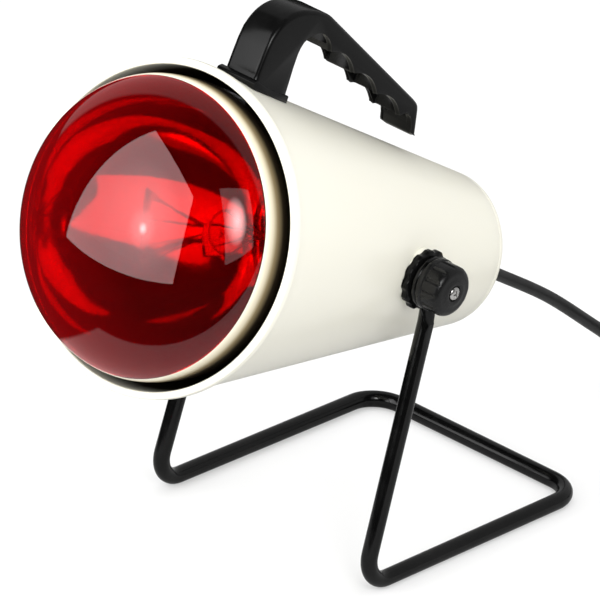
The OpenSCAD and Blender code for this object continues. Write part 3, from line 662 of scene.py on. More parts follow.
def close_geometry(tree, given, out, geometry):
    """Realize, smooth and set the finish, as the end of every tree."""
    solid = put(tree, "GeometryNodeRealizeInstances", i0=geometry)
    even = put(tree, "GeometryNodeSetShadeSmooth", i0=solid.outputs[0])
    dressed = put(
        tree,
        "GeometryNodeSetMaterial",
        i0=even.outputs[0],
        Material=given.outputs["Finish"],
    )
    tree.links.new(dressed.outputs[0], out.inputs[0])
    return tree


def build_wire_tree():
    """Sweeps a round wire along the host's path."""
    tree, given, out = open_geometry(
        "wire_along_path",
        [
            ("Path", "Geometry", None),
            ("Radius", "Float", 0.001),
            ("Sides", "Int", 24),
            ("Finish", "Material", None),
        ],
    )
    line = put(tree, "GeometryNodeMeshToCurve", i0=given.outputs["Path"])
    ring = put(
        tree,
        "GeometryNodeCurvePrimitiveCircle",
        Resolution=given.outputs["Sides"],
        Radius=given.outputs["Radius"],
    )
    swept = tree.nodes.new("GeometryNodeCurveToMesh")
    tree.links.new(line.outputs[0], swept.inputs["Curve"])
    tree.links.new(ring.outputs[0], swept.inputs["Profile Curve"])
    swept.inputs["Fill Caps"].default_value = True
    return close_geometry(tree, given, out, swept.outputs[0])


def build_ring_tree():
    """Copies of a template spaced evenly round local z."""
    tree, given, out = open_geometry(
        "copies_round_axis",
        [
            ("Host", "Geometry", None),
            ("Template", "Object", None),
            ("Count", "Int", 3),
            ("Radius", "Float", 10.0),
            ("Start Angle", "Float", 0.0),
            ("Finish", "Material", None),
        ],
    )
    step = math_node(tree, "DIVIDE", math.tau, given.outputs["Count"])
    number = tree.nodes.new("GeometryNodeInputIndex")
    angle = math_node(tree, "MULTIPLY", number.outputs[0], step)
    angle = math_node(tree, "ADD", angle, given.outputs["Start Angle"])
    reach = given.outputs["Radius"]
    x = math_node(tree, "MULTIPLY", math_node(tree, "COSINE", angle), reach)
    y = math_node(tree, "MULTIPLY", math_node(tree, "SINE", angle), reach)
    place = put(tree, "ShaderNodeCombineXYZ", i0=x, i1=y)
    points = put(
        tree, "GeometryNodePoints", Count=given.outputs["Count"], Position=place.outputs[0]
    )
    turn = put(tree, "ShaderNodeCombineXYZ", i2=angle)
    spin = put(tree, "FunctionNodeEulerToRotation", i0=turn.outputs[0])
    copies = scatter(tree, given, points.outputs[0], Rotation=spin.outputs[0])
    return close_geometry(tree, given, out, copies)


def build_row_tree():
    """Copies of a template in a straight row, each shrunk by a fixed step."""
    tree, given, out = open_geometry(
        "copies_in_row",
        [
            ("Host", "Geometry", None),
            ("Template", "Object", None),
            ("Count", "Int", 5),
            ("Step", "Vector", (0.0, 0.0, 1.0)),
            ("Shrink", "Float", 0.0),
            ("Finish", "Material", None),
        ],
    )
    number = tree.nodes.new("GeometryNodeInputIndex")
    place = put(
        tree,
        "ShaderNodeVectorMath",
        p_operation="SCALE",
        i0=given.outputs["Step"],
        Scale=number.outputs[0],
    )
    points = put(
        tree, "GeometryNodePoints", Count=given.outputs["Count"], Position=place.outputs[0]
    )
    less = math_node(tree, "MULTIPLY", number.outputs[0], given.outputs["Shrink"])
    size = math_node(tree, "SUBTRACT", 1.0, less)
    scale = put(tree, "ShaderNodeCombineXYZ", i0=size, i1=size, i2=1.0)
    copies = scatter(tree, given, points.outputs[0], Scale=scale.outputs[0])
    return close_geometry(tree, given, out, copies)


WIRE_TREE = build_wire_tree()
RING_TREE = build_ring_tree()
ROW_TREE = build_row_tree()


def path_host(name, points):
    """Mesh of a bare path, for a tree to work on."""
    mesh = bpy.data.meshes.new(name)
    mesh.from_pydata(points, [(i, i + 1) for i in range(len(points) - 1)], [])
    host = bpy.data.objects.new(name, mesh)
    scene.collection.objects.link(host)
    return host


def grow(name, tree, points=((0, 0, 0),), **values):
    """Runs a tree on a path and keeps the plain mesh that it makes."""
    host = path_host(name, points)
    step = host.modifiers.new("grow", "NODES")
    step.node_group = tree
    for item in tree.interface.items_tree:
        key = item.name.replace(" ", "_")
        if item.in_out == "INPUT" and key in values:
            step[item.identifier] = values[key]
    made = bake(host)
    made.name = name
    return made


def sweep(name, points, radius, sides, finish):
    """Round wire through points, in the points' own unit."""
    return grow(name, WIRE_TREE, points, Radius=radius, Sides=sides, Finish=finish)


def ring_of(name, template, count, radius, start, finish=None):
    """Copies of a template in a ring; the template is used up."""
    made = grow(
        name,
        RING_TREE,
        Template=template,
        Count=count,
        Radius=radius,
        Start_Angle=math.radians(start),
        Finish=finish,
    )
    discard(template)
    return made


def row_of(name, template, count, step, shrink=0.0):
    """Copies of a template in a row; the template is used up."""
    made = grow(name, ROW_TREE, Template=template, Count=count, Step=step, Shrink=shrink)
    discard(template)
    return made


# --------------------------------------------------------------- finishes


def use(tree, group, **values):
    """A node of a shared group."""
    return put(tree, "ShaderNodeGroup", p_node_tree=group, **values)


def grey(value):
    return (value, value, value, 1)


def depth_mask(tree, where, low, high):
    """0 to 1 between two places along the head's axis, in mm from the pivot."""
    depth = put(tree, "ShaderNodeVectorMath", p_operation="DOT_PRODUCT", i0=where, i1=FORWARD)
    base = PIVOT.dot(FORWARD)
    return remap(tree, depth.outputs["Value"], (base + low) * MM, (base + high) * MM)


def new_finish(
    name,
    tones,
    speck,
    drift,
    rough,
    grain,
    bump,
    strength=0.3,
    wear=None,
    dust=None,
    **constants,
):
    """A material with tone, specks, worn edges, dust, roughness and grain.

    speck is colour, scale, amount; grain is fine scale, wave scale, wave share;
    wear is colour, width, scale, amount; dust is colour, scale, amount.
    """
    made = bpy.data.materials.new(name)
    made.use_nodes = True
    tree = made.node_tree
    shader = tree.nodes["Principled BSDF"]
    where = tree.nodes.new("ShaderNodeTexCoord").outputs["Object"]
    tone = use(
        tree,
        TONE,
        Vector=where,
        Main_Colour=tones[0],
        Second_Colour=tones[1],
        Drift_Scale=drift,
        Speck_Colour=speck[0],
        Speck_Scale=speck[1],
        Speck_Amount=speck[2],
    )
    colour = tone.outputs["Colour"]
    relief = use(
        tree,
        GRAIN,
        Vector=where,
        Fine_Scale=grain[0],
        Wave_Scale=grain[1],
        Wave_Share=grain[2],
        Rough_Low=rough[0],
        Rough_High=rough[1],
    )
    roughness = relief.outputs["Roughness"]
    if wear is not None:
        rubbed = use(
            tree, WEAR, Vector=where, Width=wear[1], Break_Scale=wear[2], Amount=wear[3]
        )
        colour = mixed(tree, rubbed.outputs[0], colour, wear[0])
    if dust is not None:
        fallen = use(tree, DUST, Vector=where, Scale=dust[1], Amount=dust[2]).outputs[0]
        colour = mixed(tree, fallen, colour, dust[0])
        dull = math_node(tree, "MULTIPLY", fallen, 0.15)
        roughness = math_node(tree, "ADD", roughness, dull, clamp=True)
    tree.links.new(colour, shader.inputs["Base Color"])
    tree.links.new(roughness, shader.inputs["Roughness"])
    relief = put(
        tree,
        "ShaderNodeBump",
        Strength=strength,
        Distance=bump,
        Height=relief.outputs["Height"],
    )
    tree.links.new(relief.outputs[0], shader.inputs["Normal"])
    for label, value in constants.items():
        shader.inputs[label.replace("_", " ")].default_value = value
    return made, tree, shader, where, colour


def ivory_plastic(name, painted_inner_shade=False):
    """Housing plastic; the second one carries painted shade that turns it dark from the mouth
    inwards.
    """
    made, tree, shader, where, colour = new_finish(
        name,
        ((0.735, 0.718, 0.628, 1), (0.725, 0.708, 0.618, 1)),
        speck=((0.6, 0.57, 0.48, 1), 700.0, 0.05),
        drift=6.0,
        rough=(0.28, 0.31),
        grain=(2600.0, 45.0, 0.1),
        bump=0.00001,
        strength=0.2,
        IOR=1.49,
        Coat_Weight=0.2,
        Coat_Roughness=0.12,
        Subsurface_Weight=0.05,
        Subsurface_Radius=(0.004, 0.0035, 0.0025),
        Subsurface_Scale=1.0,
    )
    if painted_inner_shade:
        # painted shade: the inner wall goes from its own colour near the mouth to near black deeper
        # in, where the gap lies in shade
        unshaded = depth_mask(tree, where, MOUTH - 12, MOUTH - 1)
        colour = mixed(tree, unshaded, (0.02, 0.012, 0.006, 1), colour)
        tree.links.new(colour, shader.inputs["Base Color"])
    return made


def black_plastic(name, rough, tone, gloss, grain=2200.0):
    return new_finish(
        name,
        (grey(tone), grey(tone * 1.5)),
        speck=(grey(0.03), 800.0, 0.2),
        drift=30.0,
        rough=rough,
        grain=(grain, 70.0, 0.25),
        bump=0.00004,
        strength=0.35,
        wear=(grey(0.045), 0.0005, 220.0, 0.5),
        dust=(grey(0.06), 140.0, 0.04),
        IOR=1.5,
        Specular_IOR_Level=gloss,
    )[0]


def metal(name, tones, rough):
    return new_finish(
        name,
        tones,
        speck=(grey(0.25), 1100.0, 0.3),
        drift=60.0,
        rough=rough,
        grain=(900.0, 200.0, 0.4),
        bump=0.00003,
        strength=0.25,
        Metallic=1.0,
    )[0]


def lead_sleeve(name, colour):
    darker = tuple(0.75 * c for c in colour[:3]) + (1,)
    return new_finish(
        name,
        (colour, darker),
        speck=(grey(0.3), 900.0, 0.1),
        drift=90.0,
        rough=(0.35, 0.5),
        grain=(1800.0, 200.0, 0.3),
        bump=0.00003,
    )[0]


def red_glass():
    """Ruby glass of the bulb's front: clear, thin, very slightly wavy."""
    made, tree, shader = new_finish(
        "ruby_glass",
        ((0.74, 0.002, 0.006, 1), (0.68, 0.002, 0.005, 1)),
        speck=((0.5, 0.0, 0.0, 1), 500.0, 0.1),
        drift=14.0,
        rough=(0.0, 0.012),
        grain=(60.0, 16.0, 0.8),
        bump=0.0004,
        strength=0.06,
        IOR=1.5,
        Coat_Weight=0.0,
    )[:3]
    slant = put(tree, "ShaderNodeLayerWeight", Blend=0.5).outputs["Facing"]
    clear = remap(tree, slant, 0.15, 0.7, 0.97, 0.82)
    tree.links.new(clear, shader.inputs["Transmission Weight"])
    return made


def painted_bowl_outside():
    """Dull cream on the outside of the bowl: a painted reflection of the housing's inner wall, with
    painted shade that turns it dark towards the back.
    """
    made, tree, shader, where, colour = new_finish(
        "bowl_back_coat",
        # cream base: painted reflection of the ivory inner wall
        ((0.8, 0.76, 0.62, 1), (0.74, 0.7, 0.56, 1)),
        speck=((0.4, 0.33, 0.22, 1), 900.0, 0.1),
        drift=40.0,
        rough=(0.3, 0.4),
        grain=(1600.0, 90.0, 0.3),
        bump=0.00002,
        strength=0.2,
        IOR=1.45,
        Specular_IOR_Level=0.3,
    )
    # painted shade: tan, then near black, deeper into the gap behind the lip
    edge = BULB_L + RED_START
    tan = depth_mask(tree, where, edge - 6.5, edge - 0.5)
    brown = depth_mask(tree, where, edge - 10.5, edge - 4)
    colour = mixed(tree, tan, (0.3, 0.23, 0.12, 1), colour)
    colour = mixed(tree, brown, (0.012, 0.008, 0.004, 1), colour)
    tree.links.new(colour, shader.inputs["Base Color"])
    return made


IVORY = ivory_plastic("ivory_plastic")
# inner wall of the housing, with painted shade deeper inside
INSIDE = ivory_plastic("heat_browned_ivory", painted_inner_shade=True)
BLACK = black_plastic("black_satin_plastic", (0.22, 0.3), tone=0.005, gloss=0.3)
GRIP = black_plastic("black_grip_plastic", (0.15, 0.22), tone=0.0025, gloss=0.16)
RUBBER = black_plastic("black_rubber", (0.45, 0.6), tone=0.008, gloss=0.25, grain=1300.0)
# dip-coated wire: glossy, with a slight orange peel
WIRE = new_finish(
    "black_wire_lacquer",
    (grey(0.0015), grey(0.003)),
    speck=(grey(0.02), 1200.0, 0.1),
    drift=40.0,
    rough=(0.1, 0.16),
    grain=(420.0, 160.0, 0.5),
    bump=0.00008,
    strength=0.3,
    wear=(grey(0.03), 0.0006, 260.0, 0.3),
    dust=(grey(0.05), 160.0, 0.03),
    IOR=1.5,
    Specular_IOR_Level=0.3,
    Coat_Weight=0.0,
)[0]
RUBY = red_glass()
# outside of the mirrored bowl, with painted reflection and painted shade
BOWL_BACK = painted_bowl_outside()
# vapour-coated aluminium on blown glass: bright, with a soft ripple
MIRROR = new_finish(
    "mirror_coat",
    ((0.74, 0.71, 0.64, 1), (0.66, 0.62, 0.54, 1)),
    speck=(grey(0.4), 500.0, 0.15),
    drift=25.0,
    rough=(0.035, 0.08),
    grain=(120.0, 40.0, 0.7),
    bump=0.0006,
    strength=0.12,
    Metallic=1.0,
)[0]
CLEAR = new_finish(
    "clear_glass",
    ((0.93, 0.96, 0.95, 1), (0.88, 0.93, 0.91, 1)),
    speck=(grey(0.7), 900.0, 0.1),
    drift=60.0,
    rough=(0.02, 0.06),
    grain=(500.0, 90.0, 0.6),
    bump=0.0002,
    strength=0.2,
    Transmission_Weight=1.0,
    IOR=1.5,
)[0]
CERAMIC = new_finish(
    "white_ceramic",
    ((0.82, 0.8, 0.76, 1), (0.76, 0.74, 0.69, 1)),
    speck=((0.4, 0.36, 0.3, 1), 600.0, 0.4),
    drift=50.0,
    rough=(0.18, 0.4),
    grain=(900.0, 120.0, 0.4),
    bump=0.00005,
)[0]
# round black sheath: satin, with faint long extrusion waves
SHEATH = new_finish(
    "black_cord_sheath",
    (grey(0.005), grey(0.009)),
    speck=(grey(0.04), 900.0, 0.25),
    drift=35.0,
    rough=(0.32, 0.46),
    grain=(1600.0, 110.0, 0.35),
    bump=0.00006,
    strength=0.35,
    dust=(grey(0.06), 120.0, 0.06),
    IOR=1.5,
    Specular_IOR_Level=0.4,
)[0]
ZINC = metal("zinc_steel", ((0.62, 0.63, 0.64, 1), (0.5, 0.52, 0.55, 1)), (0.3, 0.5))
BRIGHT = metal(
    "bright_screw_steel", ((0.72, 0.71, 0.69, 1), (0.6, 0.6, 0.59, 1)), (0.16, 0.28)
)
CAP_METAL = metal(
    "cap_aluminium", ((0.75, 0.74, 0.7, 1), (0.62, 0.6, 0.56, 1)), (0.22, 0.38)
)
BRASS = metal(
    "contact_brass", ((0.72, 0.55, 0.25, 1), (0.6, 0.43, 0.18, 1)), (0.25, 0.4)
)
TUNGSTEN = metal(
    "filament_wire", ((0.35, 0.34, 0.33, 1), (0.28, 0.27, 0.27, 1)), (0.35, 0.5)
)
PIN_METAL = metal(
    "pin_nickel", ((0.74, 0.73, 0.69, 1), (0.62, 0.61, 0.58, 1)), (0.14, 0.26)
)
BLACK_GLASS = black_plastic("black_glass_insulator", (0.08, 0.16), tone=0.012, gloss=0.5)
BROWN_LEAD = lead_sleeve("brown_lead", (0.19, 0.07, 0.025, 1))
BLUE_LEAD = lead_sleeve("blue_lead", (0.03, 0.1, 0.34, 1))

# ---------------------------------------------------------------- fasteners


def screw_mesh(name, head_r, head_h, shank_r, length):
    """Pan-head screw with a cross recess: head above z = 0, shank below."""
    crown = [
        (head_r * math.cos(a), head_h * (0.35 + 0.65 * math.sin(a)))
        for a in (math.radians(90 * i / 7) for i in range(8))
    ]
    crown[-1] = (0, head_h)
    section = [(0, -length), (shank_r * 0.7, -length), (shank_r, -length + 0.6)]
    section += [(shank_r, 0), (head_r * 0.96, 0), (head_r, head_h * 0.12)] + crown
    screw = lathe(name, section, 32)
    arm, half = head_r * 0.62, head_r * 0.115
    for turn in (0, 90):
        cut = bmesh.new()
        top = [(-arm, -half), (arm, -half), (arm, half), (-arm, half)]
        low = [(x * 0.35, y * 0.6) for x, y in top]
        rings = [
            [cut.verts.new((x, y, z)) for x, y in ring]
            for ring, z in ((low, head_h * 0.1), (top, head_h * 1.1))
        ]
        cut.faces.new(rings[0])
        cut.faces.new(rings[1])
        bridge_rings(cut, rings, 4)
        bmesh.ops.rotate(
            cut, verts=cut.verts, matrix=Matrix.Rotation(math.radians(turn), 3, "Z")
        )
        carve(screw, as_object("recess", close_up(cut)))
    return soften(screw, head_r * 0.035, angle=45, segments=1)


# ------------------------------------------------------------------ housing


def make_housing():
    """Tapered shell with a proud front lip, an inner shelf and two bosses."""
    shell = rounded(
        [
            (cone_r(SHELL_END) - WALL, SHELL_END, 0.2),
            (cone_r(SHELL_END), SHELL_END, 0.45),
            (CONE_FRONT, LIP_BACK, 0.3),
            (LIP_R, LIP_BACK, 0.7),
            (LIP_R, MOUTH, 1.3),
            (cone_r(MOUTH) - WALL - 0.2, MOUTH, 0.9),
            (cone_r(LIP_BACK) - WALL, LIP_BACK - 3, 0),
        ],
        6,
    )
    long_run = []
    for i, point in enumerate(shell):
        long_run.append(point)
        after = shell[(i + 1) % len(shell)]
        if abs(after[1] - point[1]) > 50:
            cuts = 24
            long_run += [
                (
                    point[0] + (after[0] - point[0]) * k / cuts,
                    point[1] + (after[1] - point[1]) * k / cuts,
                )
                for k in range(1, cuts)
            ]
    housing = lathe("housing", long_run, 192)
    shelf = [
        (SHELF_IN_R, SHELF - 2),
        (cone_r(SHELF) - WALL / 2, SHELF - 2),
        (cone_r(SHELF) - WALL / 2, SHELF),
        (SHELF_IN_R, SHELF),
    ]
    carve(housing, lathe("shelf", shelf, 96), "UNION")
    housing.data.transform(Matrix.Translation((0, -AXIS_DROP, 0)))
    to_head = HEAD.inverted()
    seat = [
        (0, BOSS_X - 7),
        (SHANK_R + 0.3, BOSS_X - 7),
        (SHANK_R + 0.3, BOSS_X),
        (DISC_R + 0.4, BOSS_X),
        (DISC_R + 0.4, BOSS_X + 20),
        (0, BOSS_X + 20),
    ]
    for side in (1, -1):
        turned = to_head @ pivot_side(side)
        carve(housing, drum("pad", BOSS_R, BOSS_X - 6, BOSS_X, 48, turned), "UNION")
        carve(housing, lathe("seat", seat, 64, place=turned))
    post = drum("post", 3.2, SHELL_END + 0.3, SHELF - 0.5, 20)
    ring = ring_of("posts", post, COVER_SCREWS, SCREW_RING, SCREW_START)
    ring.data.transform(Matrix.Translation((0, -AXIS_DROP, 0)))
    housing = join("housing", [housing, ring])
    settle(housing, HEAD, "head", IVORY, ["housing_shell"], 32)
    # the housing's inner faces get the finish with painted shade
    second_finish(
        housing,
        INSIDE,
        lambda place, normal: place.xy.length < cone_r(place.z) - WALL * 0.7
        and place.z < MOUTH - 1,
    )


def make_rear_cover():
    """Cover with a ring of slots, sunk screw seats and the cord's hole."""
    rim, spigot = cone_r(SHELL_END - 0.1), cone_r(SHELL_END) - WALL - 0.15
    cover = lathe(
        "rear_cover_moulding",
        rounded(
            [
                (0, REAR + 0.4, 0),
                (12.6, REAR + 0.3, 0.3),
                (13.2, REAR + 0.02, 0.3),
                (CONE_REAR - 5.2, REAR + 0.02, 0.2),
                (CONE_REAR - 4.8, REAR + 0.3, 0.15),
                (CONE_REAR - 4.2, REAR + 0.3, 0.15),
                (CONE_REAR - 3.8, REAR + 0.02, 0.2),
                (cone_r(REAR), REAR, 1.1),
                (rim, SHELL_END - 0.1, 0.2),
                (spigot, SHELL_END - 0.1, 0.1),
                (spigot, SHELL_END + 5, 0.4),
                (spigot - 1.4, SHELL_END + 5, 0.2),
                (spigot - 1.4, REAR + 2.2, 0.3),
                (0, REAR + 2.2, 0),
            ],
            4,
        ),
        128,
    )
    slot = slab("slot", plate(-3.25, -1.3, 3.25, 1.3, 1.29), REAR - 1, REAR + 4)
    carve(cover, ring_of("slots", slot, VENTS, VENT_RING, 180 / VENTS))
    seat = [
        (0, REAR - 1),
        (1.8, REAR - 1),
        (1.8, REAR + 2),
        (3.45, REAR + 2),
        (3.45, REAR + 9),
        (0, REAR + 9),
    ]
    seat = lathe("seat", seat, 32)
    carve(cover, ring_of("screw_seats", seat, COVER_SCREWS, SCREW_RING, SCREW_START))
    exit_place = Matrix.Translation((0, -EXIT_DROP, 0))
    carve(cover, drum("hole", RELIEF_R + 0.1, REAR - 1, REAR + 9, 48, exit_place))
    soften(cover, 0.22, angle=40)
    settle(cover, AXIS, "head", IVORY, ["rear_cover"], 35)
    screw = screw_mesh("cover_screw", 2.6, 1.5, 1.4, 12)
    screw.data.transform(Matrix.Rotation(math.pi, 4, "X"))
    screw.data.transform(Matrix.Translation((0, 0, REAR)))
    screws = ring_of(
        "cover_screw_set", screw, COVER_SCREWS, SCREW_RING, SCREW_START, BRIGHT
    )
    settle(screws, AXIS, "head", BRIGHT, ["cover_screws"], 40)


# --------------------------------------------------------------------- bulb


def mirror_r(t):
    """Radius of the mirrored bowl, from the cap at 0 to the red edge at 1."""
    if t < 0.13:
        return CAP_R - 0.3 + (NECK_R - CAP_R + 0.3) * math.sin(math.pi / 2 * t / 0.13)
    wave = math.sin(math.pi / 2 * (t - 0.13) / 0.87)
    return NECK_R + (BULB_R - NECK_R) * wave**1.28


def thicken(outline, depth):
    """Second wall of an open half-section, set in along its normals."""
    inner = []
    for i, (r, z) in enumerate(outline):
        before = Vector(outline[max(0, i - 1)])
        after = Vector(outline[min(len(outline) - 1, i + 1)])
        along = (after - before).normalized()
        inner.append((max(0.0, r - depth * along.y), z + depth * along.x))
    return inner


def make_bulb():
    """Mirrored bowl and ruby front as one blown shape in two finishes."""
    top = math.asin(RED_START / DOME_H)
    bowl = []
    for i in range(61):
        t = i / 60
        bowl.append((mirror_r(t), CAP_TOP + t * (BULB_L - CAP_TOP)))
    for i in range(1, 5):
        a = top * i / 4
        bowl.append((BULB_R * math.cos(a), BULB_L + DOME_H * math.sin(a)))
    shell = lathe("bulb_mirror_bowl", bowl + thicken(bowl, GLASS)[::-1], 160)
    settle(shell, AXIS, "head", MIRROR, ["bulb_reflector"], 60)
    # the bowl's outward faces get the painted reflection and painted shade
    second_finish(
        shell,
        BOWL_BACK,
        lambda place, normal: (place + normal).xy.length > place.xy.length,
    )
    dome = []
    for i in range(49):
        a = top + (math.pi / 2 - top) * i / 48
        dome.append((max(0.0, BULB_R * math.cos(a)), BULB_L + DOME_H * math.sin(a)))
    dome[-1] = (0.0, BULB_L + DOME_H)
    inside = thicken(dome, GLASS)
    inside[-1] = (0.0, BULB_L + DOME_H - GLASS)
    front = lathe("bulb_ruby_front", dome + inside[::-1], 160)
    settle(front, AXIS, "head", RUBY, ["bulb_front_glass"], 60)


def make_filament():
    """Fine coil bent into most of a ring, where the CAD ring lies."""
    ahead, ring_r, coil_r, turns = CAP_TOP + 46 + 22, 9.0, 0.5, 70
    points = []
    for i in range(turns * 10 + 1):
        a = math.radians(350) * i / (turns * 10)
        b = math.tau * i / 10
        r = ring_r + coil_r * math.cos(b)
        points.append((r * math.cos(a), r * math.sin(a), ahead + coil_r * math.sin(b)))
    coil = sweep("filament_coil", points, 0.1, 5, TUNGSTEN)
    settle(coil, AXIS, "head", TUNGSTEN, ["filament"], 80)


# ------------------------------------------------------------------- handle

LEG_FRONT, FOOT_BACK, FOOT_FRONT = 98.2, 75.2, 100.5
ARCH_FRONT, ARCH_TOP = (94.3, 87.4), (75, 97)
GRIP_FAR, GRIP_END = (59.5, 94.8), (-12, 63.2)
CUSP_LAST, CUSP_FIRST = Vector((-5, 55.6)), Vector((54.3, 80.2))
SCALLOP, SCALLOPS, RIB = 3.2, 4, 1.6


def handle_outline():
    """Side outline: the upper run first, then the scalloped lower run."""
    base = cone_r(LEG_FRONT) - AXIS_DROP - 4
    upper = [(LEG_FRONT, base), (98.1, 63), (97.8, 68.2), (97.5, 73), (97, 79), (96, 84)]
    upper += [tuple(p) for p in arc_points(ARCH_FRONT, (88.6, 96.9), ARCH_TOP, 18)]
    upper += [(72.8, 97.05), (70.6, 97), (68.4, 96.85), (66.4, 96.6), (64.6, 96.3)]
    upper += [(62.8, 95.9), (61.1, 95.4), GRIP_FAR]
    for i in range(1, 16):
        t = i / 16
        upper.append(tuple(Vector(GRIP_FAR).lerp(Vector(GRIP_END), t)))
    upper += [GRIP_END, (-13.6, 62.4), (-15, 61.6), (-16.1, 60.6), (-16.9, 59), (-18.2, 55)]
    upper += [(-19.5, 50.9), (-20, 49.2), (-20.1, 48.4), (-19.8, 47.8)]
    step = (CUSP_FIRST - CUSP_LAST) / (SCALLOPS - 1)
    across = Vector((-step.y, step.x)).normalized()
    lower = [(-19.2, 47.5), (-18.5, 47.6), (-16.2, 48.4), (-15.5, 49.4), (-14.6, 52), (-13.2, 54.5)]
    lower += [(-11.4, 56.1), (-8.6, 57)]
    for i in range(SCALLOPS - 1):
        for k in range(18):
            t = k / 18
            lift = SCALLOP * math.sin(math.pi * t) ** 0.92
            lower.append(tuple(CUSP_LAST + step * (i + t) + across * lift))
    lower += [tuple(CUSP_FIRST), (55.6, 82.6), (57.4, 84.5), (59.4, 86), (61.4, 87)]
    lower += [(63.6, 87.6), (66, 87.5), (68.4, 87.1), (70.6, 86.3), (72.6, 85)]
    lower += [(74.2, 83), (75.2, 80.6), (75.6, 78), (75.7, 72.8), (75.4, 66)]
    lower += [(FOOT_BACK, cone_r(FOOT_BACK) - AXIS_DROP - 4)]
    return upper, lower


def make_handle():
    """Hollow carrying handle: rounded back, scalloped walls and cross ribs."""
    upper, lower = handle_outline()
    outline = [Vector(p) for p in upper + lower]
    count, kept = len(outline), len(upper)
    normals = []
    for i in range(count):
        along = (outline[(i + 1) % count] - outline[i - 1]).normalized()
        normals.append(Vector((-along.y, along.x)))
    edge = 0.35

    def inset(i, depth):
        """The upper run takes the full rounding, the lower one a small one."""
        size = depth if 0 < i < kept - 1 else min(depth, edge)
        return outline[i] + normals[i] * size

    arc = [math.radians(90 * k / 7) for k in range(8)]
    half = [
        (-GRIP_W / 2 + GRIP_ROUND * (1 - math.cos(a)), GRIP_ROUND * (1 - math.sin(a)))
        for a in arc
    ]
    layers = half + [(-x, depth) for x, depth in reversed(half)]
    bm = bmesh.new()
    rings = [
        [bm.verts.new((*inset(i, depth), x)) for i in range(count)] for x, depth in layers
    ]
    bm.faces.new(rings[0])
    bm.faces.new(rings[-1])
    bridge_rings(bm, rings, count)
    handle = as_object("handle_grip", close_up(bm))
    foot = [
        (FOOT_FRONT, 52, 0),
        (FOOT_FRONT, 65.4, 1.0),
        (98.2, 66.3, 1.0),
        (93.4, 64.6, 6),
        (87, 62.7, 8),
        (80, 61.5, 8),
        (FOOT_BACK - 0.2, 60.9, 0.6),
        (FOOT_BACK - 0.2, 50, 0),
    ]
    foot = slab("foot", rounded(foot), -FOOT_W / 2, FOOT_W / 2)
    carve(handle, soften(foot, 0.5, 60), "UNION")
    cells = [
        (56, 71),
        (34.3 + RIB / 2, 56 - RIB),
        (12, 34.3 - RIB / 2),
        (-6, 12 - RIB),
        (-14.2, -6 - RIB),
    ]
    slope = (GRIP_FAR[1] - GRIP_END[1]) / (GRIP_FAR[0] - GRIP_END[0])
    for low, high in cells:
        def roof(x):
            return min(93, GRIP_END[1] + (x - GRIP_END[0]) * slope - 3.4)

        corners = [(low, 40, 0), (high, 40, 0), (high, roof(high), 1.5), (low, roof(low), 1.5)]
        if high == 71:
            corners = [(56, 40, 0), (60, 44, 0), (71, 80, 0), (71, 92.2, 2.5)]
            corners += [(63.6, 92.2, 3), (56, roof(56), 1.5)]
        half_gap = GRIP_W / 2 - GRIP_WALL
        carve(handle, soften(slab("cell", rounded(corners, 4), -half_gap, half_gap), 0.7, 60))
    bed = [(0, 40), (cone_r(40) + 0.15, 40), (cone_r(LIP_BACK) + 0.15, LIP_BACK)]
    bed = lathe("bed", bed + [(0, LIP_BACK)], 384, place=PROFILE.inverted() @ AXIS)
    carve(handle, bed)
    soften(handle, 0.22, angle=38, segments=2)
    settle(handle, PROFILE, "head", GRIP, ["handle"], 38)


# -------------------------------------------------------------------- pivot


def notched(radius, limit, blend):
    """The smaller of two radii, with a rounded change from one to the other."""
    drop = max(0.0, min(1.0, 0.5 + 0.5 * (radius - limit) / blend))
    return radius + (limit - radius) * drop - blend * drop * (1 - drop)


def fluted_knob():
    """Clamp knob: collar, rounded flutes, domed rim and a sunk screw seat."""
    flutes, flute_r, cut = 12, 0.95, 1.0
    rows = [(KNOB_R - 0.25, 0), (KNOB_R + 0.02, 0.3), (KNOB_R + 0.1, 0.8)]
    rows += [(KNOB_R + 0.1, KNOB_RING - 0.5), (KNOB_R, KNOB_RING - 0.1)]
    rows += [(KNOB_R - 0.35, KNOB_RING + 0.12), (KNOB_R - 0.3, KNOB_RING + 0.5)]
    rows += [(KNOB_R - 0.3, KNOB_RING + 0.2 + k * 0.62) for k in range(1, 10)]
    for k in range(1, 9):
        a = math.pi / 2 * k / 8
        rows.append((KNOB_R - 3.5 + 3.2 * math.cos(a), KNOB_LEN - 3.7 + 3.2 * math.sin(a)))
    rows += [(6.6, KNOB_LEN - 0.42), (5.6, KNOB_LEN - 0.15), (4.9, KNOB_LEN), (4.1, KNOB_LEN)]
    rows += [(3.6, KNOB_LEN - 0.12), (3.35, KNOB_LEN - 0.5), (3.3, KNOB_LEN - 1)]
    per_flute = 16
    count = flutes * per_flute
    reach = KNOB_R + flute_r - cut
    bm = bmesh.new()
    rings = []
    for r, z in rows:
        ring = []
        for k in range(count):
            off = math.tau / flutes * ((k / per_flute) % 1 - 0.5)
            limit = r
            side = reach * math.sin(off)
            if abs(side) < flute_r and z > KNOB_RING + 0.15:
                limit = reach * math.cos(off) - math.sqrt(flute_r**2 - side**2)
            radius = min(r, notched(r, limit, 0.22)) if z > KNOB_RING else r
            t = math.tau * k / count
            ring.append(bm.verts.new((radius * math.cos(t), radius * math.sin(t), z)))
        rings.append(ring)
    bore = [(SHANK_R + 0.05, KNOB_LEN - 1), (SHANK_R + 0.05, 0)]
    rings += [circle(bm, r, z, count) for r, z in bore]
    bridge_rings(bm, rings, count, closed=True)
    return as_object("knob", close_up(bm, 1e-4))


